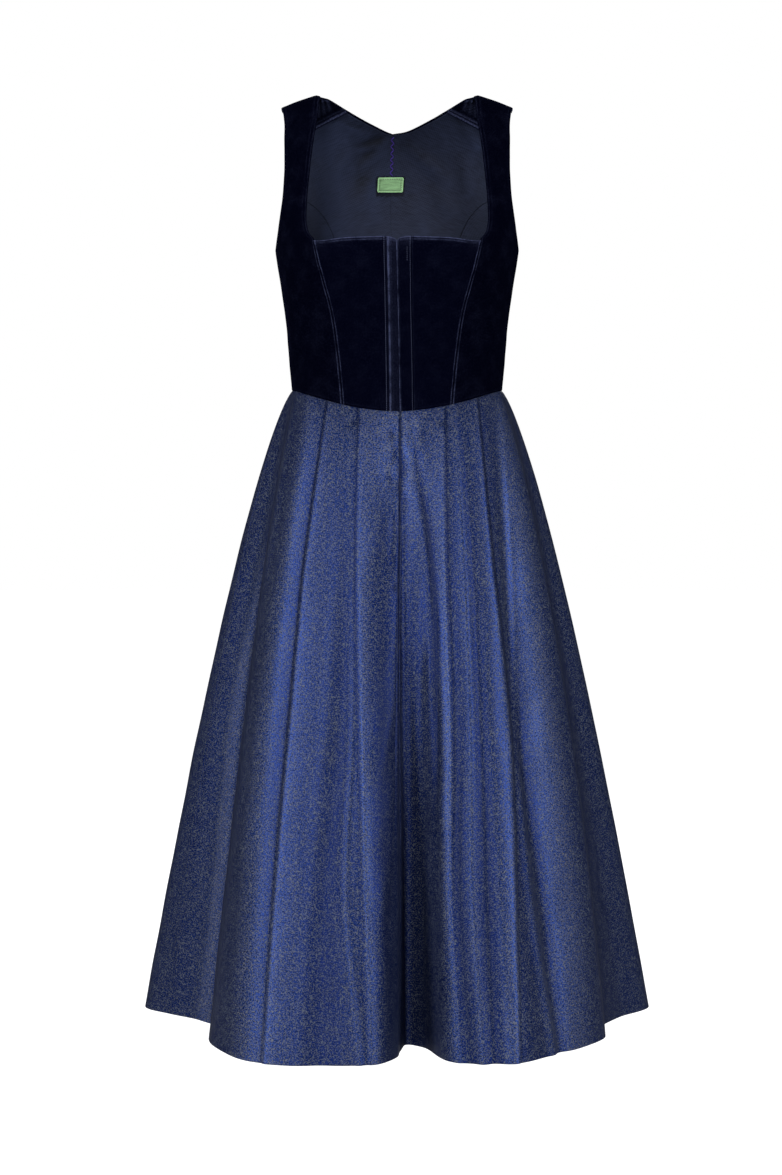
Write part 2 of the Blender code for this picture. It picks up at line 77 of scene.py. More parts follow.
camera_data = bpy.data.cameras.new("camera")
camera_data.sensor_width = SENSOR
camera_data.lens = SENSOR * CAMERA_DISTANCE / (PICTURE_HEIGHT * METRES_PER_PIXEL)
camera = bpy.data.objects.new("camera", camera_data)
tilt = np.arcsin(CAMERA_RISE / CAMERA_DISTANCE)
off_axis = (PICTURE_WIDTH / 2 - AXIS_PIXEL) * METRES_PER_PIXEL
camera.location = (off_axis, -CAMERA_DISTANCE * np.cos(tilt), AIM_LEVEL + CAMERA_RISE)
camera.rotation_euler = (np.pi / 2 - tilt, 0, 0)
bpy.context.scene.collection.objects.link(camera)
bpy.context.scene.camera = camera
print("lens", round(camera_data.lens, 2), "mm, tilt", round(np.degrees(tilt), 2), "degrees")

# %% [markdown]
# ## Floor and light
#
# The dress hangs at the height where it is worn, so the pale floor lies well below its
# hem. The floor and the air round the dress are white, as in a bright studio.
#
# Satin shows its folds best in a light that is narrow from side to side and tall: a fold
# that turns a little away loses the light at once. So the main light is an upright strip
# behind the camera, and two softer ones stand at the sides. The colours are shown
# plainly, without a film look, so that white stays white and navy stays deep.

# %% Floor, air and lights
FLOOR_LEVEL = -1.50
FLOOR_RADIUS = 14.0
AIM_POINT = Vector((0, 0, -0.62))
# Each light's name, turn, distance, level, width, height, power and colour.
LIGHTS = (
    ("strip_front", -8, 4.2, 0.75, 0.60, 2.20, 84, (1.0, 0.99, 0.97)),
    ("soft_left", -53, 3.6, 0.50, 0.80, 2.20, 80, (0.96, 0.98, 1.0)),
    ("soft_right", 53, 3.6, 0.50, 0.80, 2.20, 80, (0.96, 0.98, 1.0)),
    ("soft_back", 180, 3.8, 0.90, 1.80, 2.40, 60, (1.0, 1.0, 1.0)),
)

scene = bpy.context.scene
scene.view_settings.view_transform = "Standard"
scene.view_settings.look = "None"
AIR_SEEN = 1.0
AIR_LIGHT = 0.07


def add_node(tree, kind, values=None, **settings):
    """Add a shader node. settings are its properties, values its inputs by name or number."""
    node = tree.nodes.new(kind)
    for name, value in settings.items():
        setattr(node, name, value)
    for name, value in (values or {}).items():
        if isinstance(value, bpy.types.NodeSocket):
            tree.links.new(value, node.inputs[name])
        else:
            node.inputs[name].default_value = value
    return node


world = bpy.data.worlds.new("air")
world.use_nodes = True
scene.world = world
air = world.node_tree
air.nodes.clear()
path = add_node(air, "ShaderNodeLightPath")
seen = add_node(air, "ShaderNodeBackground", {"Color": (1, 1, 1, 1), "Strength": AIR_SEEN})
lighting = add_node(air, "ShaderNodeBackground", {"Color": (0.92, 0.95, 1, 1), "Strength": AIR_LIGHT})
choice = add_node(air, "ShaderNodeMixShader", {0: path.outputs["Is Camera Ray"]})
air.links.new(lighting.outputs[0], choice.inputs[1])
air.links.new(seen.outputs[0], choice.inputs[2])
add_node(air, "ShaderNodeOutputWorld", {"Surface": choice.outputs[0]})

for name, turn, distance, level, width, height, power, colour in LIGHTS:
    light_data = bpy.data.lights.new(name, "AREA")
    light_data.shape = "RECTANGLE"
    light_data.size = width
    light_data.size_y = height
    light_data.energy = power
    light_data.color = colour
    light = bpy.data.objects.new(name, light_data)
    angle = np.radians(turn)
    light.location = (distance * np.sin(angle), -distance * np.cos(angle), level)
    light.rotation_euler = (AIM_POINT - light.location).to_track_quat("-Z", "Y").to_euler()
    scene.collection.objects.link(light)

corner = np.linspace(0, 2 * np.pi, 97)[:-1]
floor_points = np.stack([np.cos(corner), np.sin(corner), 0 * corner], -1) * FLOOR_RADIUS
floor_mesh = bpy.data.meshes.new("floor")
floor_mesh.from_pydata((floor_points + (0, 0, FLOOR_LEVEL)).tolist(), [], [list(range(len(corner)))])
floor = bpy.data.objects.new("floor", floor_mesh)
scene.collection.objects.link(floor)
floor_paint = bpy.data.materials.new("pale_floor")
floor_paint.use_nodes = True
floor_tree = floor_paint.node_tree
floor_shader = floor_tree.nodes["Principled BSDF"]
floor_shader.inputs["Base Color"].default_value = (0.30, 0.30, 0.31, 1)
floor_shader.inputs["Roughness"].default_value = 0.9
floor_shader.inputs["Emission Color"].default_value = (1, 1, 1, 1)
floor_path = add_node(floor_tree, "ShaderNodeLightPath").outputs["Is Camera Ray"]
floor_tree.links.new(floor_path, floor_shader.inputs["Emission Strength"])
floor_mesh.materials.append(floor_paint)
print("lights:", [row[0] for row in LIGHTS])

# %% [markdown]
# ## The bodice form
#
# A fitted bodice can be described by a stack of rings, from below the waist to the
# shoulder. Each ring is an oval with squared corners, and its sides may hang lower than
# its middle, as they do towards the shoulder. Between the rings runs a smooth curve.
#
# These are the same rings as in the plain solids, so the fine cloth lies on them.

# %% Rings of the bodice
# Each ring's level, half width, depth in front and behind, squareness in front and
# behind, and how far its sides hang down.
STATIONS = (
    (-0.4140, 0.1310, 0.0985, 0.0940, 0.18, 0.18, 0.000),
    (-0.3800, 0.1307, 0.0980, 0.0930, 0.18, 0.18, 0.000),
    (-0.3350, 0.1346, 0.1030, 0.0935, 0.20, 0.20, 0.000),
    (-0.2850, 0.1386, 0.1120, 0.0945, 0.24, 0.22, 0.000),
    (-0.2350, 0.1456, 0.1215, 0.0960, 0.30, 0.24, 0.000),
    (-0.1900, 0.1525, 0.1270, 0.0985, 0.34, 0.26, 0.000),
    (-0.1460, 0.1560, 0.1180, 0.1000, 0.30, 0.26, 0.000),
    (-0.0980, 0.1600, 0.0990, 0.0970, 0.24, 0.24, 0.006),
    (-0.0530, 0.1620, 0.0790, 0.0860, 0.20, 0.22, 0.018),
    (-0.0170, 0.1620, 0.0540, 0.0650, 0.18, 0.20, 0.030),
    (0.0050, 0.1620, 0.0280, 0.0360, 0.16, 0.18, 0.036),
    (0.0128, 0.1620, 0.0000, 0.0000, 0.16, 0.18, 0.038),
)
WAIST_SIDE_LEVEL = -0.3685
WAIST_FRONT_DIP = 0.0260
WAIST_BACK_DIP = 0.0120
TOP_EDGE_CLEARANCE = 0.0004


def smooth_through(rows, place, after=None):
    """Smooth curve through a table's rows, read at a row number (Catmull-Rom).

    Between rows b and c, with their neighbours a and d and f running from 0 to 1, it is
    (2b + (c - a) f + (2a - 5b + 4c - d) f^2 + (3b - a - 3c + d) f^3) / 2.
    """
    rows = np.asarray(rows, float)
    last = len(rows) - 1
    before = 2 * rows[0] - rows[1]
    if after is None:
        after = 2 * rows[-1] - rows[-2]
    padded = np.vstack([before, rows, after])
    place = np.clip(np.asarray(place, float), 0, last)
    index = np.minimum(place.astype(int), last - 1)
    f = (place - index)[..., None]
    a, b, c, d = (padded[index + step] for step in range(4))
    return (2 * b + (c - a) * f + (2 * a - 5 * b + 4 * c - d) * f**2 + (3 * b - a - 3 * c + d) * f**3) / 2


# Over the shoulder the rings go on as on the way up, with front and back exchanged.
OVER_SHOULDER = np.array(STATIONS[-2]) * np.array((1, 1, -1, -1, 1, 1, 1))
LAST_RING = len(STATIONS) - 1
FINE_PLACES = np.linspace(0, LAST_RING, 1101)
FINE_LEVELS = smooth_through(STATIONS, FINE_PLACES, OVER_SHOULDER)[:, 0]


def ring_place(level):
    """Row number in STATIONS of a ring's level, ending just short of the shoulder seam."""
    place = np.interp(level, FINE_LEVELS, FINE_PLACES)
    return np.minimum(place, LAST_RING - TOP_EDGE_CLEARANCE)


def form_point(turn, place):
    """Point of the bodice form at a turn from the centre front and a ring's row number.

    X = half width * sin(turn), Y = -depth * cos(turn) * (1 + fullness * sin(turn)^2),
    Z = level - drop * sin(turn)^2.
    """
    turn = np.where(place > LAST_RING, np.pi - turn, turn)
    ring = smooth_through(STATIONS, LAST_RING - np.abs(LAST_RING - place), OVER_SHOULDER)
    level, half_width, front, back, full_front, full_back, drop = np.moveaxis(ring, -1, 0)
    sine, cosine = np.sin(turn), np.cos(turn)
    depth = np.where(cosine >= 0, front, back)
    fullness = np.where(cosine >= 0, full_front, full_back)
    y = -depth * cosine * (1 + fullness * sine**2)
    return np.stack([half_width * sine, y, level - drop * sine**2], -1)


def bodice_point(turn, level):
    """Point of the bodice form at a turn and a ring's level."""
    return form_point(turn, ring_place(level))


def bodice_normal(turn, level):
    """Outward normal of the bodice form: the cross product of small steps round and up."""
    step = 0.01
    place = ring_place(level)
    around = form_point(turn + step, place) - form_point(turn - step, place)
    upwards = form_point(turn, place + step) - form_point(turn, place - step)
    normal = np.cross(around, upwards)
    return normal / np.linalg.norm(normal, axis=-1, keepdims=True)


def waist_level(turn):
    """Level of the waist seam: side level - dip * |cos(turn)|^2.5 in front, ^2 behind."""
    cosine = np.cos(turn)
    front = WAIST_FRONT_DIP * np.abs(cosine) ** 2.5
    return WAIST_SIDE_LEVEL - np.where(cosine >= 0, front, WAIST_BACK_DIP * cosine**2)


print("bust about", round(np.linalg.norm(np.diff(bodice_point(
    np.linspace(0, 2 * np.pi, 181), np.full(181, -0.19)), axis=0), axis=1).sum(), 3), "m round")

# %% [markdown]
# ## The cut of the bodice
#
# A maker draws the seams on the form first and takes the panels from between them. Here
# a seam is a short table of turns and levels. The back pieces count their turns from the
# centre back. A panel has an inner edge, towards the middle, and an outer edge, and each
# edge is one or more stretches that meet at corners.

# %% Seams and edges
SIDE_SEAM = ((90, -0.3685), (90, -0.333), (90, -0.288), (90, -0.246), (90, -0.217), (90, -0.197))
PRINCESS_FRONT = (
    (30.8, -0.3860), (32.0, -0.333), (34.6, -0.276), (38.4, -0.232), (40.3, -0.209), (41.6, -0.1865),
)
STRAP_INNER = (
    (41.6, -0.1865), (44.3, -0.1798), (45.4, -0.1715), (45.7, -0.159), (44.3, -0.1325), (42.0, -0.100),
    (40.1, -0.069), (38.5, -0.044), (37.1, -0.020), (36.6, 0.002), (35.7, 0.0128),
)
ARMHOLE_FRONT = (
    (90, -0.197), (82, -0.1925), (76, -0.183), (71, -0.168), (64, -0.135), (60.3, -0.100),
    (59.3, -0.070), (59.2, -0.045), (59.4, -0.020), (61, 0.002), (63, 0.0128),
)
PRINCESS_BACK_LOWER = (
    (25.5, -0.3765), (26.0, -0.335), (27.2, -0.285), (28.6, -0.240), (30.2, -0.205), (32.2, -0.171),
)
PRINCESS_BACK_UPPER = ((32.2, -0.171), (34.3, -0.159), (38.0, -0.144), (44.0, -0.131), (54.5, -0.119))
ARMHOLE_BACK_LOWER = ((90, -0.197), (80, -0.191), (71, -0.174), (63.5, -0.150), (58, -0.128))
CENTER_BACK_LOWER = (
    (0, -0.3805), (0.6, -0.335), (1.4, -0.285), (2.0, -0.235), (2.5, -0.190), (2.8, -0.150),
)
CENTER_BACK_UPPER = ((2.8, -0.150), (2.8, -0.125), (2.7, -0.100), (2.3, -0.072), (1.9, -0.0400))
BACK_NECK_LEFT = (
    (1.9, -0.0400), (6.2, -0.035), (15, -0.0219), (23, -0.008), (30.8, 0.006), (35.7, 0.0128),
)
BACK_NECK_RIGHT = (
    (-1.9, -0.0400), (5.2, -0.036), (15, -0.0219), (23, -0.008), (30.8, 0.006), (35.7, 0.0128),
)
ARMHOLE_BACK_UPPER = (
    (54.5, -0.119), (54, -0.092), (54.5, -0.062), (55.6, -0.036), (59.5, -0.003), (63, 0.0128),
)
FACING_FIRST_ROW = 3
# Rows, counted from the waist, of the bust, of the back neck's lowest point, of the
# facing's lower edge and of the shoulder seam.
BUST_ROW = len(SIDE_SEAM) - 1
NECK_ROW = len(CENTER_BACK_LOWER) + len(CENTER_BACK_UPPER) - 2
FACING_ROW = NECK_ROW + FACING_FIRST_ROW
SHOULDER_ROW = NECK_ROW + len(BACK_NECK_LEFT) - 1
CLOSING_COLUMNS = ("left", "middle", "right", "level")
CLOSING = np.array((
    (-4.5, 2.0, 8.8, -0.3944), (-4.6, 1.4, 8.1, -0.335), (-4.8, 0.9, 7.3, -0.280),
    (-4.9, 0.4, 6.7, -0.235), (-5.0, 0.2, 6.4, -0.210), (-5.0, 0.0, 6.2, -0.1845),
))
SEAM_GAP = 0.3 * MM
SEAM_LAP = 0.05 * MM

# Distances from a panel's edge where its grid has a line, so that the rolled edge and the
# ridge beside the seam are smooth, while the middle of the panel stays coarser.
EDGE_STEPS = np.array((0.0, 0.25, 0.6, 1.0, 1.5, 2.0, 2.6, 3.2, 3.9, 4.8, 6.0, 7.6)) * MM
EDGE_SHARE = 0.4
PANEL_STEP = 2.6 * MM
BAND_STEP = 1.6 * MM
FINE_STEPS = 1201
WAIST_FADE = 30 * MM


# %% Distances on a panel
def lengths_along(points, axis=0):
    """Length from the first point to each point, along one axis of a line or a grid."""
    steps = np.linalg.norm(np.diff(points, axis=axis), axis=-1)
    start = np.zeros_like(np.take(steps, [0], axis=axis))
    return np.concatenate([start, np.cumsum(steps, axis=axis)], axis=axis)


def edge_at(stretches, place):
    """Turn and level of a panel's edge at row numbers that count through its stretches."""
    result = np.zeros((len(place), 2))
    first = 0
    for rows in stretches:
        last = first + len(rows) - 1
        here = (place >= first - 1e-9) & (place <= last + 1e-9)
        result[here] = smooth_through(rows, place[here] - first)
        first = last
    return result


def spread_steps(length, step):
    """Distances from 0 to a length: fine near both ends and evenly spaced between."""
    edge = EDGE_STEPS * min(1.0, EDGE_SHARE * length / EDGE_STEPS[-1])
    inner = length - 2 * edge[-1]
    middle = np.linspace(edge[-1], length - edge[-1], max(2, int(round(inner / step)) + 1))
    return np.concatenate([edge, middle[1:-1], length - edge[::-1]])


print("a panel 60 mm wide has", len(spread_steps(60 * MM, PANEL_STEP)), "columns")


# %% Panels
class Panel:
    """A panel's grid on the bodice form: rows from the waist to its top, columns outwards.

    Every point knows how far it lies from the panel's inner, outer, bottom and top edge.
    trim pulls the inner edge in by a length for each row, as where a neck edge shows.
    """

    def __init__(self, inner, outer, side, back, step=PANEL_STEP, rows=None, trim=None):
        self.edges, self.side, self.back = (inner, outer), side, back
        corners = np.cumsum([len(stretch) - 1 for stretch in inner]).tolist()
        first, last = rows or (0, corners[-1])
        self.set_rows(first, last, corners[:-1], step)
        self.set_columns(step, 0 if trim is None else trim(self.place))
        if first == 0:
            waist = waist_level(self.turn[0])
            fade = np.clip(1 - self.from_bottom / WAIST_FADE, 0, 1)
            self.level += fade * (waist - self.level[0])[None, :]
        self.refresh()

    def set_rows(self, first, last, corners, step):
        """Rows spaced along the panel's middle line, with one row on every corner."""
        place = np.linspace(first, last, FINE_STEPS)
        length = lengths_along(self.line_at(place, 0.5))
        levels = spread_steps(length[-1], step)
        for corner in corners:
            if first < corner < last:
                at = np.interp(corner, place, length)
                levels[np.argmin(np.abs(levels - at))] = at
        self.place = np.interp(levels, length, place)
        self.from_bottom = levels[:, None]
        self.from_top = length[-1] - levels[:, None]

    def set_columns(self, step, trim):
        """Columns at the same distances from both edges in every row, evenly between."""
        coarse = np.stack([self.line_at(self.place, share) for share in np.linspace(0, 1, 9)])
        width = np.linalg.norm(np.diff(coarse, axis=0), axis=2).sum(axis=0)
        start = np.broadcast_to(trim - SEAM_LAP, width.shape)
        room = width - start + SEAM_LAP
        usual = spread_steps(width.mean(), step)
        fixed = len(EDGE_STEPS)
        edge = usual[:fixed]
        shrink = np.minimum(1, EDGE_SHARE * room / edge[-1])[:, None]
        near = edge * shrink
        far = room[:, None] - edge[::-1] * shrink
        free = np.linspace(0, 1, len(usual) - 2 * fixed + 2)[None, :]
        between = near[:, -1:] + (far[:, :1] - near[:, -1:]) * free
        self.from_inner = np.hstack([near[:, :-1], between, far[:, 1:]])
        self.from_outer = room[:, None] - self.from_inner
        share = (start[:, None] + self.from_inner) / width[:, None]
        inner, outer = (edge_at(stretches, self.place)[:, None] for stretches in self.edges)
        self.turn = self.real_turn(inner[..., 0] * (1 - share) + outer[..., 0] * share)
        self.level = inner[..., 1] * (1 - share) + outer[..., 1] * share

    def real_turn(self, degrees):
        """A table's turn in radians from the centre front, on the panel's own side."""
        turn = np.radians(degrees)
        return (np.pi - turn if self.back else turn) * self.side

    def line_at(self, place, share):
        """Points of the form along the line that divides the panel at a share."""
        inner, outer = (edge_at(stretches, place) for stretches in self.edges)
        rows = inner * (1 - share) + outer * share
        return bodice_point(self.real_turn(rows[:, 0]), rows[:, 1])

    def refresh(self):
        """Read the form again after the levels were changed."""
        self.points = bodice_point(self.turn, self.level)
        self.normals = bodice_normal(self.turn, self.level)

    def thread(self):
        """Metres across and along the cloth, for the patterns: a length along each row
        from the panel's middle column, and a length along the middle column."""
        across = self.from_inner - self.from_inner.mean(axis=1, keepdims=True)
        along = self.from_bottom + 0 * across
        return np.stack([across, along, 0 * across], -1)


print("seam tables have", sum(map(len, (PRINCESS_FRONT, STRAP_INNER, ARMHOLE_FRONT))), "front rows")

# %% [markdown]
# ## From a grid to a sheet of cloth
#
# A real sheet has two sides and a thickness. The outer side is a grid of points, the
# inner side the same grid moved inwards, and a rim joins the two. All faces come from
# index arithmetic, so there is no loop over points.
#
# Each point keeps two attributes for the materials: thread, its place on the cloth in
# metres, and light, a painted light and shade: how strongly the nap or the satin is
# painted as catching the light there, or as lying in shade.

# %% Closed sheets
def grid_faces(rows, columns, first=0):
    """Four corners for each cell of a grid whose points are numbered row by row."""
    r, c = np.meshgrid(np.arange(rows - 1), np.arange(columns - 1), indexing="ij")
    a = (first + r * columns + c).ravel()
    return np.stack([a, a + 1, a + columns + 1, a + columns], -1)


def rim_faces(rows, columns):
    """Faces that join the rims of two such grids, the second numbered after the first."""
    top = (rows - 1) * columns
    loop = np.concatenate([
        np.arange(columns), np.arange(1, rows) * columns + columns - 1,
        top + np.arange(columns - 2, -1, -1), np.arange(rows - 2, 0, -1) * columns,
    ])
    after = np.roll(loop, -1)
    second = rows * columns
    return np.stack([loop, loop + second, after + second, after], -1)


SHARP_ANGLE = np.radians(70)


def mesh_object(name, points, faces, materials):
    """Make a smooth-shaded object at the origin from an array of points and its faces."""
    mesh = bpy.data.meshes.new(name)
    mesh.from_pydata(points.tolist(), [], faces)
    for material in materials:
        mesh.materials.append(material)
    mesh.shade_smooth()
    made = bpy.data.objects.new(name, mesh)
    scene.collection.objects.link(made)
    return made


def closed_sheet(name, outer, inner, outward, materials, thread, light=None, turned=None):
    """A closed sheet between two grids. materials are those of the outer and inner side,
    and where turned is true the outer cloth is turned in over the inner side."""
    rows, columns = outer.shape[:2]
    count = rows * columns
    front = grid_faces(rows, columns)
    rear = grid_faces(rows, columns, count)[:, ::-1]
    faces = np.vstack([front, rear, rim_faces(rows, columns)])
    points = np.vstack([outer.reshape(-1, 3), inner.reshape(-1, 3)])
    a, b, d = (points[front[:, k]] for k in (0, 1, 3))
    facing = np.einsum("ij,ij->i", np.cross(b - a, d - a), outward.reshape(-1, 3)[front[:, 0]])
    if facing.sum() < 0:
        faces = faces[:, ::-1]
    kinds = np.zeros(len(faces))
    inside = np.ones(len(rear)) if turned is None else 1 - turned.ravel()[rear[:, 0] - count]
    kinds[len(front):len(front) + len(rear)] = inside
    made = mesh_object(name, points, faces.tolist(), materials)
    made.data.polygons.foreach_set("material_index", kinds.astype(np.int32))
    made.data.set_sharp_from_angle(angle=SHARP_ANGLE)
    both = np.concatenate([thread.reshape(-1, 3)] * 2)
    both[count:, 2] = 1
    layer = made.data.attributes.new("thread", "FLOAT_VECTOR", "POINT")
    layer.data.foreach_set("vector", both.ravel().astype(np.float32))
    # light is painted light and shade, carried to the materials as an attribute.
    shine = np.zeros(outer.shape[:2]) if light is None else light
    layer = made.data.attributes.new("light", "FLOAT", "POINT")
    layer.data.foreach_set("value", np.concatenate([shine.ravel()] * 2).astype(np.float32))
    return made


def row_lengths(points):
    """Length of every row of a grid."""
    return np.linalg.norm(np.diff(points, axis=1), axis=2).sum(axis=1)


def declare(piece, node, points):
    """Attach the piece to the body and hide the frame's plain solid for the same node. The
    length of the longest column of points is worked out, but nothing reads it."""
    length = row_lengths(points.transpose(1, 0, 2)).max()
    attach(piece, BODY)
    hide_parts(node)


# %% [markdown]
# ## Node groups that several cloths share
#
# A group is built once and placed in every material with its own numbers. It puts out
# only colours, masks and heights that change over the surface. The shader itself and all
# constant values stay in the material.
#
# Four groups are enough: uneven tone, a plain weave, the curled figure of the jacquard,
# and the nap of velvet.

# %% Helpers for groups
def new_group(name, inputs, outputs):
    """Start a shader node group. inputs and outputs are (name, kind, default) rows."""
    tree = bpy.data.node_groups.new(name, "ShaderNodeTree")
    for socket, kind, default in inputs:
        item = tree.interface.new_socket(socket, in_out="INPUT", socket_type="NodeSocket" + kind)
        if default is not None:
            item.default_value = default
    for socket, kind in outputs:
        tree.interface.new_socket(socket, in_out="OUTPUT", socket_type="NodeSocket" + kind)
    return tree, tree.nodes.new("NodeGroupInput").outputs, tree.nodes.new("NodeGroupOutput")


def math_node(tree, operation, *values, clamp=False):
    """One step of arithmetic on sockets or numbers."""
    values = dict(enumerate(values))
    return add_node(tree, "ShaderNodeMath", values, operation=operation, use_clamp=clamp).outputs[0]


def remap(tree, value, low, high, to_low=0.0, to_high=1.0):
    """Smoothly bring a value from one range to another, held inside it."""
    values = {"Value": value, "From Min": low, "From Max": high, "To Min": to_low, "To Max": to_high}
    return add_node(tree, "ShaderNodeMapRange", values, interpolation_type="SMOOTHSTEP").outputs[0]


def noise(tree, vector, scale, detail=1.0, roughness=0.5, distortion=0.0):
    """Noise between 0 and 1 at a scale in repeats per metre."""
    values = {"Vector": vector, "Scale": scale, "Detail": detail, "Roughness": roughness,
              "Distortion": distortion}
    return add_node(tree, "ShaderNodeTexNoise", values).outputs["Fac"]


def mix_colour(tree, share, low, high):
    """Blend two colours by a share."""
    values = {0: share, 6: low, 7: high}
    return add_node(tree, "ShaderNodeMix", values, data_type="RGBA").outputs[2]


# %% Uneven tone
tone_group, given, out = new_group(
    "uneven_tone",
    (("Colour", "Color", None), ("Vector", "Vector", None), ("Scale", "Float", 12.0),
     ("Amount", "Float", 0.15)),
    (("Colour", "Color"),),
)
patches = noise(tone_group, given["Vector"], given["Scale"], 3.0, 0.55)
change = math_node(tone_group, "MULTIPLY", math_node(tone_group, "SUBTRACT", patches, 0.5), given["Amount"])
brighter = math_node(tone_group, "ADD", math_node(tone_group, "MULTIPLY", change, 4.0), 1.0)
toned = add_node(tone_group, "ShaderNodeHueSaturation", {"Color": given["Colour"], "Value": brighter})
tone_group.links.new(toned.outputs[0], out.inputs["Colour"])

print("uneven_tone:", len(tone_group.nodes), "nodes")

# %% Plain weave
weave_group, given, out = new_group(
    "plain_weave",
    (("Vector", "Vector", None), ("Threads", "Float", 1200.0)),
    (("Over", "Float"), ("Height", "Float")),
)
parts = add_node(weave_group, "ShaderNodeSeparateXYZ", {0: given["Vector"]})
turns = []
for axis in ("X", "Y"):
    count = math_node(weave_group, "MULTIPLY", parts.outputs[axis], given["Threads"])
    turns.append(math_node(weave_group, "SINE", math_node(weave_group, "MULTIPLY", count, float(np.pi))))
crossing = math_node(weave_group, "MULTIPLY", turns[0], turns[1])
weave_group.links.new(remap(weave_group, crossing, -0.6, 0.6), out.inputs["Over"])
fibre = noise(weave_group, given["Vector"], 900.0, 1.0)
height = math_node(weave_group, "ADD", math_node(weave_group, "ABSOLUTE", crossing), fibre)
weave_group.links.new(height, out.inputs["Height"])

print("plain_weave:", len(weave_group.nodes), "nodes")

# %% Curled figure
figure_group, given, out = new_group(
    "curled_figure",
    (("Vector", "Vector", None), ("Scale", "Float", 200.0), ("Width", "Float", 0.05)),
    (("Figure", "Float"), ("Deep", "Float"), ("Height", "Float")),
)
field = noise(figure_group, given["Vector"], given["Scale"], 1.0, 0.5, 0.35)
from_middle = math_node(figure_group, "ABSOLUTE", math_node(figure_group, "SUBTRACT", field, 0.5))
share = math_node(figure_group, "DIVIDE", from_middle, given["Width"])
curl = remap(figure_group, share, 0.55, 1.25, 1.0, 0.0)
breaks = noise(figure_group, given["Vector"], math_node(figure_group, "MULTIPLY", given["Scale"], 1.7), 0.0)
broken = math_node(figure_group, "MULTIPLY", curl, remap(figure_group, breaks, 0.36, 0.46))
figure_group.links.new(broken, out.inputs["Figure"])
pits = noise(figure_group, given["Vector"], math_node(figure_group, "MULTIPLY", given["Scale"], 1.35), 1.0)
figure_group.links.new(remap(figure_group, pits, 0.48, 0.60, 0.0, 0.8), out.inputs["Deep"])
figure_group.links.new(broken, out.inputs["Height"])

print("curled_figure:", len(figure_group.nodes), "nodes")

# %% Velvet nap
nap_group, given, out = new_group(
    "velvet_nap",
    (("Vector", "Vector", None), ("Dark", "Color", None), ("Lit", "Color", None), ("Light", "Float", 0.0),
     ("Mottle", "Float", 0.2)),
    (("Colour", "Color"), ("Height", "Float")),
)
strands = noise(nap_group, given["Vector"], 1500.0, 2.0, 0.7)
tufts = noise(nap_group, given["Vector"], 620.0, 2.0, 0.6)
clouds = noise(nap_group, given["Vector"], 38.0, 3.0, 0.65)
cloudy = math_node(nap_group, "MULTIPLY", remap(nap_group, clouds, 0.42, 0.72), given["Mottle"])
uneven = remap(nap_group, tufts, 0.34, 0.66, 0.45, 1.45)
cloudy = math_node(nap_group, "ADD", cloudy, remap(nap_group, tufts, 0.46, 0.66, 0.0, 0.03))
lighter = math_node(nap_group, "ADD", given["Light"], cloudy)
lit = math_node(nap_group, "MULTIPLY", lighter, uneven, clamp=True)
nap_group.links.new(mix_colour(nap_group, lit, given["Dark"], given["Lit"]), out.inputs["Colour"])
nap_group.links.new(math_node(nap_group, "ADD", strands, tufts), out.inputs["Height"])
print("node groups:", [group.name for group in bpy.data.node_groups if group.name.islower()])

# %% [markdown]
# ## The four cloths and their threads
#
# Velvet is nearly black where one looks into its upright nap, and blue where the nap is
# bent over and catches the light, along seams and edges. That blue is a painted highlight,
# placed by the light attribute, and the shader's sheen gives the soft bloom that velvet
# has at a slant.
#
# The jacquard has a satin ground that mirrors softly in its own blue, which a partly
# metallic surface does well, and a dull grey-brown figure that does not.

# %% Materials
def new_material(name, **values):
    """A material with one Principled shader. Its constant values are set on its sockets."""
    material = bpy.data.materials.new(name)
    material.use_nodes = True
    shader = material.node_tree.nodes["Principled BSDF"]
    for socket, value in values.items():
        shader.inputs[socket.replace("_", " ")].default_value = value
    return material, material.node_tree, shader


def place_group(tree, group, values):
    """Place a node group in a material and set or link its inputs."""
    return add_node(tree, "ShaderNodeGroup", values, node_tree=group).outputs


def attribute(tree, name, output="Vector"):
    """Read one of the cloth's own attributes."""
    return add_node(tree, "ShaderNodeAttribute", attribute_name=name).outputs[output]


def bump(tree, shader, height, strength, distance):
    """Turn a height into the shader's normal."""
    values = {"Strength": strength, "Distance": distance, "Height": height}
    tree.links.new(add_node(tree, "ShaderNodeBump", values).outputs[0], shader.inputs["Normal"])


def velvet_material(name, dark, lit, mottle):
    """Velvet: dark into the nap, with a painted highlight where the light attribute is high."""
    material, tree, shader = new_material(
        name, Roughness=0.9, Sheen_Weight=0.012, Sheen_Roughness=0.3, Specular_IOR_Level=0.0,
        Sheen_Tint=(0.35, 0.42, 0.95, 1),
    )
    nap = place_group(tree, nap_group, {
        "Vector": attribute(tree, "thread"), "Dark": dark, "Lit": lit,
        "Light": attribute(tree, "light", "Fac"), "Mottle": mottle,
    })
    tree.links.new(nap["Colour"], shader.inputs["Base Color"])
    bump(tree, shader, nap["Height"], 0.5, 0.4 * MM)
    return material


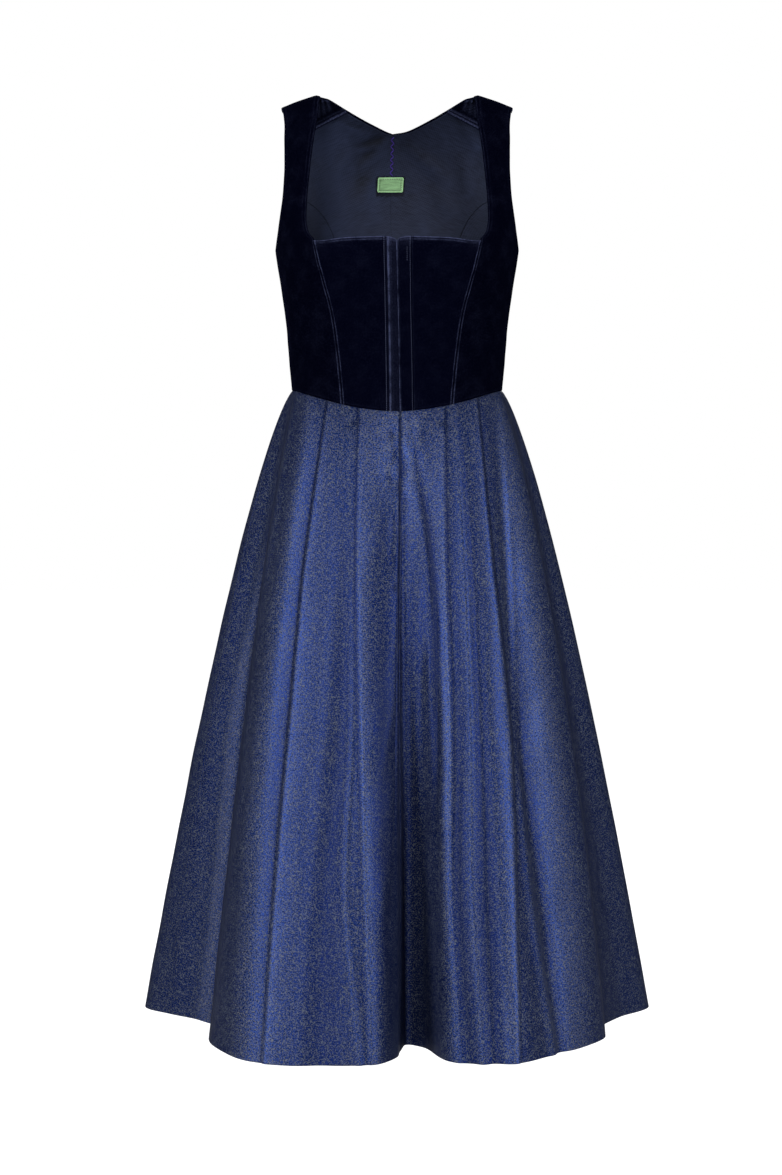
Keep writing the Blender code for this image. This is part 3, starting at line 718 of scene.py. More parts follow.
def woven_material(name, colour, threads, tone, roughness, sheen):
    """Plain cloth: a weave, slubs that run at a slant, and painted light and shade from the
    light attribute.
    """
    material, tree, shader = new_material(
        name, Roughness=roughness, Sheen_Weight=sheen, Sheen_Roughness=0.5, Specular_IOR_Level=0.08,
    )
    thread = attribute(tree, "thread")
    weave = place_group(tree, weave_group, {"Vector": thread, "Threads": threads})
    # Painted shade and painted highlight copies of the colour, picked by the light attribute.
    low = tuple(0.30 * value for value in colour[:3]) + (1,)
    high = tuple(1.70 * value for value in colour[:3]) + (1,)
    share = remap(tree, attribute(tree, "light", "Fac"), -1.0, 1.0)
    slant = {"Vector": thread, "Rotation": (0, 0, 0.85), "Scale": (1, 7, 1)}
    turned = add_node(tree, "ShaderNodeMapping", slant)
    slub = remap(tree, noise(tree, turned.outputs[0], 75.0, 3.0, 0.7), 0.3, 0.7, -0.19, 0.19)
    over = math_node(tree, "MULTIPLY_ADD", weave["Over"], 0.30, math_node(tree, "SUBTRACT", share, 0.15))
    woven = mix_colour(tree, math_node(tree, "ADD", over, slub), low, high)
    toned = place_group(tree, tone_group, {
        "Colour": woven, "Vector": thread, "Scale": 14.0, "Amount": tone,
    })
    tree.links.new(toned["Colour"], shader.inputs["Base Color"])
    bump(tree, shader, weave["Height"], 0.35, 0.15 * MM)
    return material


def jacquard_material(name, ground, shaded, deep, figure, figure_lit, gloss):
    """Satin ground with curled threads, painted between shaded and lit copies of ground and
    figure by the light attribute. Where that attribute is low, a painted shade sinks both
    towards the deep colour, which also fills the pits of the weave.
    """
    material, tree, shader = new_material(name, Specular_IOR_Level=0.12, Sheen_Weight=0.0)
    thread = attribute(tree, "thread")
    curls = place_group(tree, figure_group, {"Vector": thread, "Scale": 375.0, "Width": 0.050})
    # Painted light and shade: the light attribute picks the shaded or the lit copies.
    share = remap(tree, attribute(tree, "light", "Fac"), -0.65, 1.5)
    base = mix_colour(tree, share, shaded, ground)
    # Painted shade in furrows and towards the sides, where the light attribute is low.
    painted_furrow_shade = remap(tree, attribute(tree, "light", "Fac"), -1.8, -0.45, 0.80, 0.0)
    base = mix_colour(tree, math_node(tree, "MAXIMUM", curls["Deep"], painted_furrow_shade), base, deep)
    threads = mix_colour(tree, share, figure, figure_lit)
    threads = mix_colour(tree, math_node(tree, "MULTIPLY", painted_furrow_shade, 0.7), threads, deep)
    woven = mix_colour(tree, curls["Figure"], base, threads)
    toned = place_group(tree, tone_group, {
        "Colour": woven, "Vector": thread, "Scale": 9.0, "Amount": 0.06,
    })
    tree.links.new(toned["Colour"], shader.inputs["Base Color"])
    tree.links.new(remap(tree, curls["Figure"], 0, 1, gloss, 0.1), shader.inputs["Metallic"])
    tree.links.new(remap(tree, curls["Figure"], 0, 1, 0.44, 0.7), shader.inputs["Roughness"])
    bump(tree, shader, curls["Height"], 0.25, 0.12 * MM)
    return material


VELVET_DARK = (0.0005, 0.0007, 0.0045, 1)
VELVET_DARKER = (0.0004, 0.0005, 0.0036, 1)
VELVET_LIT = (0.046, 0.054, 0.110, 1)
velvet = velvet_material("velvet", VELVET_DARK, VELVET_LIT, 0.03)
velvet_mottled = velvet_material("velvet_side", VELVET_DARKER, VELVET_LIT, 0.04)
lining_cloth = woven_material("lining", (0.0128, 0.0168, 0.0350, 1), 620.0, 0.14, 0.55, 0.02)
# ground and figure_lit are the painted lit copies, shaded and figure the painted shade copies.
jacquard = jacquard_material(
    "jacquard", ground=(0.034, 0.072, 0.270, 1), shaded=(0.002, 0.012, 0.092, 1),
    deep=(0.002, 0.006, 0.036, 1), figure=(0.082, 0.096, 0.128, 1),
    figure_lit=(0.154, 0.162, 0.192, 1), gloss=0.60,
)
jacquard_wrong_side = jacquard_material(
    "jacquard_wrong_side", ground=(0.050, 0.052, 0.068, 1), shaded=(0.030, 0.032, 0.045, 1),
    deep=(0.012, 0.014, 0.026, 1), figure=(0.016, 0.030, 0.120, 1),
    figure_lit=(0.016, 0.030, 0.120, 1), gloss=0.10,
)
label_cloth = woven_material("label", (0.225, 0.400, 0.200, 1), 1300.0, 0.16, 0.7, 0.05)


def thread_material(name, colour, roughness):
    """Sewing thread with a fine twist."""
    material, tree, shader = new_material(name, Roughness=roughness, Specular_IOR_Level=0.1)
    twist = noise(tree, add_node(tree, "ShaderNodeTexCoord").outputs["Object"], 2500.0, 1.0)
    darker = tuple(0.6 * value for value in colour[:3]) + (1,)
    tree.links.new(mix_colour(tree, twist, darker, colour), shader.inputs["Base Color"])
    bump(tree, shader, twist, 0.4, 0.1 * MM)
    return material


velvet_thread = thread_material("velvet_thread", (0.075, 0.085, 0.150, 1), 0.6)
zigzag_thread = thread_material("zigzag_thread", (0.066, 0.036, 0.290, 1), 0.6)
label_thread = thread_material("label_thread", (0.520, 0.760, 0.440, 1), 0.6)
lining_thread = thread_material("lining_thread", (0.010, 0.012, 0.024, 1), 0.6)
print("materials:", len(bpy.data.materials))

# %% [markdown]
# ## How a velvet edge is finished
#
# Every edge rolls over a little. Beside a seam the layers inside push up a narrow ridge,
# where the nap opens; a painted highlight along the ridge stands for the light it catches.
# At the neck the facing is turned in, which gives a rounder edge and a faint second line,
# raised and with a painted highlight, where the turned cloth ends underneath.

# %% Edge finishes
# For each finish: the edge's roll, the ridge's place, width, height and painted
# highlight, and the second line's place, height and painted highlight. Lengths are in
# millimetres.
FINISHES = {
    "seam": (0.9, 1.9, 0.65, 0.40, 0.50, 9.0, 0.0, 0.0),
    "quiet": (0.8, 1.8, 0.80, 0.22, 0.10, 9.0, 0.0, 0.0),
    "neck": (1.5, 0.8, 0.70, 0.20, 0.95, 3.6, 0.30, 0.22),
    "strap": (1.5, 0.9, 0.70, 0.20, 0.14, 5.0, 0.30, 0.07),
    "arm": (1.4, 0.5, 0.60, 0.15, 0.42, 5.4, 0.20, 0.04),
    "waist": (0.9, 3.0, 1.50, 0.20, 0.02, 9.0, 0.0, 0.0),
    "shoulder": (0.9, 1.6, 0.90, 0.15, 0.03, 9.0, 0.0, 0.0),
    "closing": (1.2, 0.7, 0.60, 0.20, 0.85, 9.0, 0.0, 0.0),
    "closing_dark": (1.2, 0.7, 0.60, 0.20, 0.15, 9.0, 0.0, 0.0),
    "band": (0.9, 2.1, 1.25, 0.80, 0.98, 5.2, 0.30, 0.10),
    "band_flat": (0.9, 1.8, 0.70, 0.15, 0.04, 9.0, 0.0, 0.0),
    "ditch": (0.9, 1.2, 0.80, 0.10, 0.05, 9.0, 0.0, 0.0),
}
LINE_WIDTH = 0.8 * MM


def rounded(distance, radius):
    """Drop of a rolled edge: r - sqrt(r^2 - (r - d)^2) within r of the edge, else 0."""
    near = np.clip(radius - distance, 0, radius)
    return radius - np.sqrt(radius**2 - near**2)


def bell(distance, middle, width):
    """Bell curve: exp(-((d - middle) / width)^2)."""
    return np.exp(-(((distance - middle) / width) ** 2))


def ripple(along, lengths, phase):
    """Slow change between -1 and 1 along a seam: a mean of sines of several lengths."""
    waves = [np.sin(2 * np.pi * along / length + phase * (k + 1)) for k, length in enumerate(lengths)]
    return sum(waves) / len(waves)


def finish_edge(finish, distance, along, phase):
    """Height and painted highlight that an edge's finish adds at a distance from it."""
    sizes = np.array(FINISHES[finish])
    roll, ridge_at, ridge_width, ridge_height, _, line_at, line_height, _ = sizes * MM
    ridge_light, line_light = sizes[[4, 7]]
    patchy = np.clip(0.90 + 0.8 * ripple(along, (0.097, 0.041, 0.0173), phase), 0.25, 1.5)
    height = -rounded(distance, roll) + ridge_height * bell(distance, ridge_at, ridge_width)
    height += line_height * bell(distance, line_at, LINE_WIDTH)
    light = ridge_light * bell(distance, ridge_at, 0.9 * ridge_width) * patchy
    light += line_light * bell(distance, line_at, LINE_WIDTH) * patchy
    return height, light


print("edge finishes:", list(FINISHES))

# %% [markdown]
# ## Creases
#
# A fitted panel still shows a few soft pulls. Each one is a short line, with a width and
# a height, and it dies out towards both ends. Lines are given in millimetres as seen from
# the front or from behind: across and up.

# %% Creases
def crease_height(points, creases, mirror=1):
    """Sum of soft ridges, each height * exp(-(d / width)^2) * sin(pi * s)^0.7, where d is
    the distance from the line and s runs from 0 to 1 along it."""
    total = np.zeros(points.shape[:-1])
    for x_from, z_from, x_to, z_to, width, height in np.array(creases, float) * MM:
        start = np.array((x_from * mirror, z_from))
        way = np.array((x_to * mirror, z_to)) - start
        length = np.linalg.norm(way)
        offset = points[..., (0, 2)] - start
        s = np.clip(offset @ way / length**2, 0, 1)
        away = np.linalg.norm(offset - s[..., None] * way, axis=-1)
        total += height * np.exp(-((away / width) ** 2)) * np.sin(np.pi * s) ** 0.7
    return total


# Each crease runs from one x and z to another and has a width and a height.
FRONT_CREASES = (
    (-70, -205, -118, -232, 7, 0.7), (-64, -222, -112, -268, 8, 0.6), (-84, -300, -122, -322, 9, 0.6),
    (-60, -352, -112, -340, 7, 0.6), (-28, -372, -70, -352, 6, 0.4), (-20, -214, -66, -222, 8, 0.4),
    (-112, -120, -128, -182, 6, 0.6), (-100, -60, -120, -110, 7, 0.4), (72, -210, 116, -240, 7, 0.7),
    (66, -238, 112, -262, 8, 0.5), (82, -318, 124, -304, 9, 0.6), (56, -360, 108, -344, 7, 0.6),
    (30, -368, 72, -356, 6, 0.4), (24, -212, 70, -226, 8, 0.4), (112, -128, 130, -178, 6, 0.6),
    (98, -52, 118, -104, 7, 0.4),
)
BACK_CREASES = (
    (-30, -340, -90, -356, 8, 0.8), (-24, -318, -84, -330, 9, 0.6), (28, -345, 86, -352, 8, 0.8),
    (34, -322, 92, -334, 9, 0.6), (-60, -118, -108, -150, 8, 0.7), (62, -122, 104, -156, 8, 0.6),
    (-20, -70, -60, -52, 7, 0.5), (18, -74, 58, -50, 7, 0.5), (-40, -220, -110, -236, 10, 0.5),
    (44, -232, 112, -240, 10, 0.5),
)
print("creases:", len(FRONT_CREASES), "in front,", len(BACK_CREASES), "behind")

# %% [markdown]
# ## The velvet panels
#
# The front has a band along each side of the closing, a centre panel and a side panel
# whose upper end is the shoulder strap. The back has a centre and a side panel on each
# side. All of them are made by one function: the form, plus the finish of the four
# edges, plus the creases, with a plain inner side two millimetres deeper.

# %% Velvet panels
VELVET_WALL = 2.0 * MM
TURNED_IN = 7.0 * MM
FINISHED_EDGES = ("neck", "strap", "arm", "closing", "closing_dark")
PHASES = {"inner": 0.7, "outer": 2.9, "bottom": 4.4, "top": 5.8}
END_REACH = 30 * MM
# Painted light on the velvet: brighter near both ends of a panel, a painted sheen near the top and the
# outer edge, and an even painted light over the left band.
END_LIGHT = {"top": 0.9, "bottom": 0.4}
NAP_SHARE = 0.68
EDGE_FADE = 3 * MM
PAINTED_SHEEN = 0.22
PAINTED_SHEEN_REACH = {"top": 7 * MM, "outer": 14 * MM}
UNEVEN = 0.25 * MM
BAND_PAINTED_LIGHT = {"left": 0.055, "right": 0.0}


# %% Relief of a velvet panel
def edge_shares(finishes, edge, panel):
    """The finishes of an edge with their shares: one, or two where the edge changes."""
    choice = finishes[edge]
    return choice(panel) if callable(choice) else [(choice, 1.0)]


def velvet_relief(panel, finishes, creases, painted_light):
    """Height above the form and painted light of a panel: its edge finishes, creases and a painted sheen.
    """
    height = np.zeros(panel.turn.shape)
    light = np.zeros(panel.turn.shape)
    ways = {
        "inner": (panel.from_inner, panel.from_bottom), "outer": (panel.from_outer, panel.from_bottom),
        "bottom": (panel.from_bottom, panel.from_inner), "top": (panel.from_top, panel.from_inner),
    }
    for edge, (distance, along) in ways.items():
        for finish, share in edge_shares(finishes, edge, panel):
            raised, lit = finish_edge(finish, distance, along, PHASES[edge])
            height = height + raised * share
            light = light + lit * share
    height = height + crease_height(panel.points, creases)
    fade = np.clip(np.minimum(panel.from_inner, panel.from_outer) / EDGE_FADE, 0, 1)
    waves = ripple(panel.from_bottom, (0.047, 0.031), 1.3) * ripple(panel.from_inner, (0.053, 0.029), 2.1)
    # Painted highlights: stronger near both ends, a painted sheen near the top and outer edge, and an even
    # painted light where one is given.
    near_ends = END_LIGHT["top"] * np.exp(-panel.from_top / END_REACH)
    near_ends = near_ends + END_LIGHT["bottom"] * np.exp(-panel.from_bottom / END_REACH)
    painted_sheen = PAINTED_SHEEN * np.exp(-panel.from_top / PAINTED_SHEEN_REACH["top"] - panel.from_outer / PAINTED_SHEEN_REACH["outer"])
    light = np.clip(light * (NAP_SHARE + near_ends) + painted_sheen + painted_light * fade, 0, 1)
    return height + UNEVEN * waves * fade, light


def turned_in(panel, finishes):
    """True where the velvet is turned in: near an edge that is finished and not sewn on."""
    turned = np.zeros(panel.turn.shape, bool)
    edges = {"inner": panel.from_inner, "outer": panel.from_outer, "top": panel.from_top + 0 * panel.turn}
    for edge, distance in edges.items():
        for finish, share in edge_shares(finishes, edge, panel):
            if finish in FINISHED_EDGES:
                turned |= (distance < TURNED_IN) & (share + 0 * distance > 0.5)
    return turned


def velvet_piece(node, panel, finishes, creases, material=None, painted_light=0.0):
    height, light = velvet_relief(panel, finishes, creases, painted_light)
    outer = panel.points + panel.normals * height[..., None]
    inner = panel.points - panel.normals * VELVET_WALL
    cloth = (material or velvet, lining_cloth)
    piece = closed_sheet(node + "_velvet", outer, inner, panel.normals, cloth, panel.thread(), light,
                         turned_in(panel, finishes))
    declare(piece, node, panel.points)


def switch(place, row, low, high, soft=0.25):
    """Shares of two finishes along an edge that changes its kind at a row."""
    share = np.clip((place - row) / soft + 0.5, 0, 1)[:, None]
    return [(low, 1 - share), (high, share)]


SIDE_FRONT_FINISH = {
    "inner": lambda panel: switch(panel.place, BUST_ROW, "seam", "strap"),
    "outer": lambda panel: switch(panel.place, BUST_ROW, "quiet", "arm"),
    "bottom": "waist", "top": "shoulder",
}
NOTCH_DEPTH = 6.0 * MM
NOTCH_WIDTH = {"left": 4.6 * MM, "right": 3.2 * MM}
NECK_DIP = 2.8 * MM
SHOULDER_RADIUS = 8.0 * MM


def round_shoulder(panel):
    """Round both corners at a panel's shoulder end: the points sink near the two edges."""
    drop = rounded(panel.from_inner, SHOULDER_RADIUS) + rounded(panel.from_outer, 0.3 * SHOULDER_RADIUS)
    panel.points[..., 2] -= 0.8 * drop * np.clip(1 - panel.from_top / (30 * MM), 0, 1)


# %% Velvet front
closing = dict(zip(CLOSING_COLUMNS, CLOSING.T))
panels = {}
for side, word in SIDES:
    band_edge = list(zip(closing[word] * side, closing["level"]))
    middle_edge = list(zip(closing["middle"] * side, closing["level"]))
    band = Panel([middle_edge], [band_edge], side, False, step=BAND_STEP)
    height_share = (band.level - band.level[0]) / (band.level[-1] - band.level[0])
    band.level -= NOTCH_DEPTH * np.exp(-band.from_inner / NOTCH_WIDTH[word]) * height_share**12
    band.refresh()
    panels["closure_band_" + word] = band
    velvet_piece("closure_band_" + word, band, {
        "inner": "closing" if side < 0 else "closing_dark", "outer": "band" if side < 0 else "band_flat",
        "bottom": "waist", "top": "neck",
    }, (), painted_light=BAND_PAINTED_LIGHT[word])
    center = Panel([band_edge], [PRINCESS_FRONT], side, False)
    across = center.from_inner / (center.from_inner + center.from_outer)
    center.level -= NECK_DIP * bell(across, 0.88, 0.24) * np.clip(1 - center.from_top / 0.03, 0, 1)
    center.refresh()
    panels["bodice_center_front_" + word] = center
    velvet_piece("bodice_center_front_" + word, center, {
        "inner": "ditch", "outer": "seam", "bottom": "waist", "top": "neck",
    }, FRONT_CREASES)
    side_front = Panel([PRINCESS_FRONT, STRAP_INNER], [SIDE_SEAM, ARMHOLE_FRONT], side, False)
    round_shoulder(side_front)
    velvet_piece("bodice_side_front_" + word, side_front, SIDE_FRONT_FINISH, FRONT_CREASES, velvet_mottled)

# %% Velvet back
CENTER_BACK_FINISH = {
    "inner": lambda panel: switch(panel.place, NECK_ROW, "quiet", "strap"),
    "outer": lambda panel: switch(panel.place, NECK_ROW, "seam", "arm"),
    "bottom": "waist", "top": "shoulder",
}
SIDE_BACK_FINISH = {
    "inner": "seam", "outer": lambda panel: switch(panel.place, BUST_ROW, "quiet", "arm"),
    "bottom": "waist", "top": "arm",
}


def center_back_edges(side):
    """The centre back's edges. Its seam leans to the left, so the right panel crosses."""
    seam = (CENTER_BACK_LOWER, CENTER_BACK_UPPER)
    lean = [[(turn * -side, level) for turn, level in rows] for rows in seam]
    neck = BACK_NECK_LEFT if side < 0 else BACK_NECK_RIGHT
    return lean + [neck], [PRINCESS_BACK_LOWER, PRINCESS_BACK_UPPER, ARMHOLE_BACK_UPPER]


SIDE_BACK_EDGES = [PRINCESS_BACK_LOWER, PRINCESS_BACK_UPPER], [SIDE_SEAM, ARMHOLE_BACK_LOWER]
for side, word in SIDES:
    panel = Panel(*center_back_edges(side), side, True)
    round_shoulder(panel)
    velvet_piece("bodice_center_back_" + word, panel, CENTER_BACK_FINISH, BACK_CREASES)
    panel = Panel(*SIDE_BACK_EDGES, side, True)
    velvet_piece("bodice_side_back_" + word, panel, SIDE_BACK_FINISH, BACK_CREASES)

# %% [markdown]
# ## Lining and facings
#
# Through the neck one sees the back's inside: a smooth dark lining, cut like the velvet
# and a little short of the neck edge, and a velvet facing under each shoulder. The
# lining is a bit loose, so soft pulls run from the neck and from under the facings. The
# facing's lower edge stands off the lining and throws a shadow on it.

# %% Lining and facings
LINING_WALL = 1.0 * MM
FACING_WALL = 1.8 * MM
LINING_OUTSIDE = VELVET_WALL + SEAM_GAP
NECK_TRIM = 2.6 * MM
# Painted light on the lining: a highlight and a shade on the two flanks of each crease, and a broad painted
# light over its left side.
CREASE_LIGHT = 0.55
CREASE_FLANK = np.array((3.0, 0, -4.0)) * MM
LINING_PAINTED_LIGHT = 0.60
LINING_PAINTED_LIGHT_X = -92 * MM
LINING_PAINTED_LIGHT_WIDTH = 38 * MM
LINING_ROLL = 0.6 * MM
# A painted shadow on the lining round the label, set a little below it, and a painted shade along the
# lining's seams.
LABEL_SHADE = 2.2
LABEL_SHADE_FADE = 1.4 * MM
LABEL_SHADE_MIDDLE = np.array((-8.5, -105.0)) * MM
LABEL_SHADE_REACH = np.array((16.0, 10.2)) * MM
SEAM_SHADE = 1.1
SEAM_SHADE_REACH = 0.8 * MM
LINING_CREASES = (
    (-9, -48, -52, -60, 5, 1.6), (-10, -49, -50, -84, 8, 2.0), (-11, -54, -52, -136, 14, 2.6),
    (-80, -24, -34, -42, 5, 2.2), (-102, -74, -84, -140, 10, 1.4), (-40, -96, -30, -156, 12, 1.6),
    (-62, -56, -78, -96, 8, 1.2), (78, -20, 108, -62, 6, 2.2), (10, -50, 48, -88, 8, 1.6),
    (34, -66, 70, -108, 9, 1.5), (84, -64, 96, -122, 8, 1.3), (46, -104, 74, -146, 11, 1.3),
    (18, -118, 34, -170, 12, 1.4), (-70, -146, -96, -166, 9, 1.0),
)


def lining_relief(panel):
    """Height and light of a lining panel: its creases get a painted highlight on one flank
    and a painted shade on the other, a broad painted light lies on its left, its seams are
    dark furrows with a painted shade, and a painted shadow lies round the label."""
    raised = crease_height(panel.points, LINING_CREASES)
    shifted = crease_height(panel.points + CREASE_FLANK, LINING_CREASES)
    # Painted highlight and shade on the crease flanks, and a broad painted light on the left.
    light = CREASE_LIGHT * (raised - shifted) / MM
    light = light + LINING_PAINTED_LIGHT * bell(panel.points[..., 0], LINING_PAINTED_LIGHT_X, LINING_PAINTED_LIGHT_WIDTH)
    for distance in (panel.from_inner, panel.from_outer):
        raised = raised - rounded(distance, LINING_ROLL)
    # Painted shade along the seam and a painted shadow round the label.
    light = light - SEAM_SHADE * bell(panel.from_outer, 0, SEAM_SHADE_REACH)
    off_label = np.abs(panel.points[..., (0, 2)] - LABEL_SHADE_MIDDLE) - LABEL_SHADE_REACH
    away = np.linalg.norm(np.clip(off_label, 0, None), axis=-1)
    return raised, light - LABEL_SHADE * bell(away, 0, LABEL_SHADE_FADE)


def lining_depth(points):
    """How far the lining's seen side lies inside the form."""
    return LINING_OUTSIDE + LINING_WALL + crease_height(points, LINING_CREASES)


def lining_piece(node, panel, wall, cloth, slot, raised, light=None):
    """A sheet inside the velvet. Its seen side faces inwards, so what is raised there goes
    inwards too: point - normal * (outside + wall + raised)."""
    outside = panel.points - panel.normals * LINING_OUTSIDE
    inside = panel.points - panel.normals * (LINING_OUTSIDE + wall + raised)[..., None]
    piece = closed_sheet(node + "_cloth", inside, outside, -panel.normals, (cloth, cloth),
                         panel.thread(), light)
    declare(piece, node, panel.points)


FACING_GAP_ROW = 0.012


def neck_trim(place):
    """How far the lining stays back from the neck edge: nothing below the neck."""
    return NECK_TRIM * np.clip((place - (NECK_ROW - 0.2)) / 0.6, 0, 1)


def full_trim(place):
    """The neck's trim at its full width, along the stitches."""
    return np.full(np.shape(place), NECK_TRIM)


for side, word in SIDES:
    center_back = center_back_edges(side)
    for node, panel in (
        ("lining_center_back_", Panel(*center_back, side, True, rows=(0, FACING_ROW), trim=neck_trim)),
        ("lining_side_back_", Panel(*SIDE_BACK_EDGES, side, True)),
    ):
        lining_piece(node + word, panel, LINING_WALL, lining_cloth, "lining", *lining_relief(panel))

# %% Facings
FACING_CAUGHT = 9 * MM
FACING_LIFT = 3.4 * MM
SECOND_LIFT = {"left": 0.54 * MM, "right": 1.8 * MM}
SECOND_LIGHT = {"left": 0.2, "right": 0.55}
FACING_FOLDS = (
    (86, -14, 90, 4, 2.2, 1.6), (93, -18, 95, 2, 2.0, 1.8), (100, -22, 101, 2, 2.2, 1.5),
    (108, -26, 106, -6, 3.0, 1.2), (118, -30, 114, -10, 4.0, 0.8),
)
for side, word in SIDES:
    panel = Panel(*center_back_edges(side), side, True, rows=(FACING_ROW + FACING_GAP_ROW, SHOULDER_ROW))
    round_shoulder(panel)
    caught = np.clip(panel.from_outer / FACING_CAUGHT, 0, 1)
    folds = crease_height(panel.points, FACING_FOLDS, side)
    raised = caught * FACING_LIFT * bell(panel.from_bottom, 1.2 * MM, 2.4 * MM) + folds
    raised += caught * SECOND_LIFT[word] * bell(panel.from_bottom, 7.0 * MM, 1.5 * MM)
    raised -= rounded(panel.from_bottom, 1.2 * MM) + rounded(panel.from_inner, 1.0 * MM)
    # Painted highlight along the facing's lower edge, on its folds' crests and on the second line.
    light = 0.65 * bell(panel.from_bottom, 3.0 * MM, 0.9 * MM) + 0.28 * folds / MM
    light += SECOND_LIGHT[word] * bell(panel.from_bottom, 7.2 * MM, 1.0 * MM)
    lining_piece("shoulder_facing_" + word, panel, FACING_WALL, velvet, "velvet", raised, light)

# %% [markdown]
# ## Label and stitches
#
# The label is a small woven patch on the back lining, left bare. A stitch is a short
# bent thread: a tube whose thickness swells in the middle and whose ends dip into the
# cloth. A row of stitches is one mesh, made by repeating the same rings along a line.

# %% Stitches
STITCH_SIDES = 6
STITCH_RINGS = 5
STITCH_RISE = 0.25 * MM
STITCH_SHARE = 0.62
STITCH_LENGTH = 2.5 * MM
STITCH_FLOAT = 0.10 * MM


def resample(points, count):
    """The same line with evenly spaced points."""
    length = lengths_along(points)
    wanted = np.linspace(0, length[-1], count)
    return np.stack([np.interp(wanted, length, points[:, k]) for k in range(3)], -1), length[-1]


def threads(name, starts, ends, normals, radius, rise, material, slot):
    """Thread tubes from starts to ends. At share s the middle line stands rise * sin(pi s)
    above the cloth, and the radius is radius * (0.45 + 0.55 * sin(pi s))."""
    s = np.linspace(0, 1, STITCH_RINGS)[None, :, None]
    swell = np.sin(np.pi * s)
    line = starts[:, None] * (1 - s) + ends[:, None] * s + normals[:, None] * rise * swell
    along = ends - starts
    along /= np.linalg.norm(along, axis=1, keepdims=True)
    across = np.cross(along, normals)
    across /= np.linalg.norm(across, axis=1, keepdims=True)
    up = np.cross(across, along)
    angle = np.linspace(0, 2 * np.pi, STITCH_SIDES + 1)[:-1]
    ring = across[:, None] * np.cos(angle)[:, None] + up[:, None] * np.sin(angle)[:, None]
    thick = radius * (0.45 + 0.55 * swell)
    points = line[:, :, None] + ring[:, None] * thick[..., None]
    count = len(starts)
    r, k = np.meshgrid(np.arange(STITCH_RINGS - 1), np.arange(STITCH_SIDES), indexing="ij")
    a = r * STITCH_SIDES + k
    b = r * STITCH_SIDES + (k + 1) % STITCH_SIDES
    tube = np.stack([a, b, b + STITCH_SIDES, a + STITCH_SIDES], -1).reshape(-1, 4)
    first = np.arange(count)[:, None, None] * STITCH_RINGS * STITCH_SIDES
    faces = (tube[None] + first).reshape(-1, 4).tolist()
    last_ring = (STITCH_RINGS - 1) * STITCH_SIDES
    for base in first.ravel().tolist():
        faces.append([base + k for k in range(STITCH_SIDES)][::-1])
        faces.append([base + last_ring + k for k in range(STITCH_SIDES)])
    made = mesh_object(name, points.reshape(-1, 3), faces, (material,))
    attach(made, BODY)
    return made


def stitch_row(name, line, normals, pitch, share, radius, material, slot):
    """A row of straight stitches along a line: one every pitch, each a share of it long."""
    count = max(2, int(round(resample(line, 2)[1] / pitch)))
    points = resample(line, 2 * count + 1)[0]
    facing = resample(normals, 2 * count + 1)[0]
    middle, way = points[1::2], points[2::2] - points[:-1:2]
    made = threads(name, middle - way * share / 2, middle + way * share / 2, facing[1::2],
                   radius, STITCH_RISE, material, slot)
    print(f"{name}: {count} stitches")
    return made


def line_on(panel, distance, outer=False, first=0, last=None):
    """A line on a panel at a distance from its inner or outer edge, with its normals."""
    way = -1 if outer else 1
    away = (panel.from_outer if outer else panel.from_inner)[:, ::way]
    numbers = np.arange(away.shape[1])[::way]
    rows = np.arange(len(panel.place))[first:last]
    column = np.array([np.interp(distance, away[row], numbers) for row in rows])
    index = np.minimum(column.astype(int), away.shape[1] - 2)
    f = (column - index)[:, None]
    grids = panel.points, panel.normals
    return [grid[rows, index] * (1 - f) + grid[rows, index + 1] * f for grid in grids]


LEFT_CENTER = panels["bodice_center_front_left"]
RIGHT_BAND = panels["closure_band_right"]
for name, panel, distance, outer, first, last, radius in (
    ("band_stitches_left", LEFT_CENTER, 2.7 * MM, False, 2, -3, 0.42 * MM),
    ("band_stitches_right", RIGHT_BAND, 1.3 * MM, True, 2, -3, 0.30 * MM),
    ("band_stitches_right_2", RIGHT_BAND, 5.0 * MM, True, -26, -14, 0.30 * MM),
):
    line, normals = line_on(panel, distance, outer, first, last)
    line = line + normals * STITCH_FLOAT
    stitch_row(name, line, normals, STITCH_LENGTH, STITCH_SHARE, radius, velvet_thread, "velvet")

# %% Zigzag and under-stitching
ZIGZAG_TOP = -0.0425
ZIGZAG_BOTTOM = -0.0915
ZIGZAG_COUNT = 12
ZIGZAG_REACH = 2.0 * MM
ZIGZAG_RADIUS = 0.75 * MM
ZIGZAG_RISE = 0.3 * MM
NECK_STITCH_FROM_EDGE = 1.7 * MM
level = np.linspace(ZIGZAG_TOP, ZIGZAG_BOTTOM, ZIGZAG_COUNT + 1)
seam_turn = np.interp(level, [row[1] for row in CENTER_BACK_UPPER], [row[0] for row in CENTER_BACK_UPPER])
turn = -np.pi + np.radians(seam_turn)
facing = -bodice_normal(turn, level)
seam = bodice_point(turn, level)
seam = seam + facing * (lining_depth(seam) + 0.25 * MM)[:, None]
zig = seam + np.array((1, 0, 0)) * ZIGZAG_REACH * np.where(np.arange(len(level)) % 2, -1, 1)[:, None]
threads("zigzag_stitches", zig[:-1], zig[1:], facing[:-1], ZIGZAG_RADIUS, ZIGZAG_RISE,
        zigzag_thread, "lining")

for side, word in SIDES:
    strip = Panel(*center_back_edges(side), side, True, trim=full_trim,
                  rows=(NECK_ROW + 0.05, FACING_ROW - 0.2))
    line, normals = line_on(strip, NECK_STITCH_FROM_EDGE)
    line = line - normals * (lining_depth(line) + 0.05 * MM)[:, None]
    stitch_row("neck_stitches_" + word, line, -normals, 2.4 * MM, 0.6, 0.22 * MM, lining_thread, "lining")

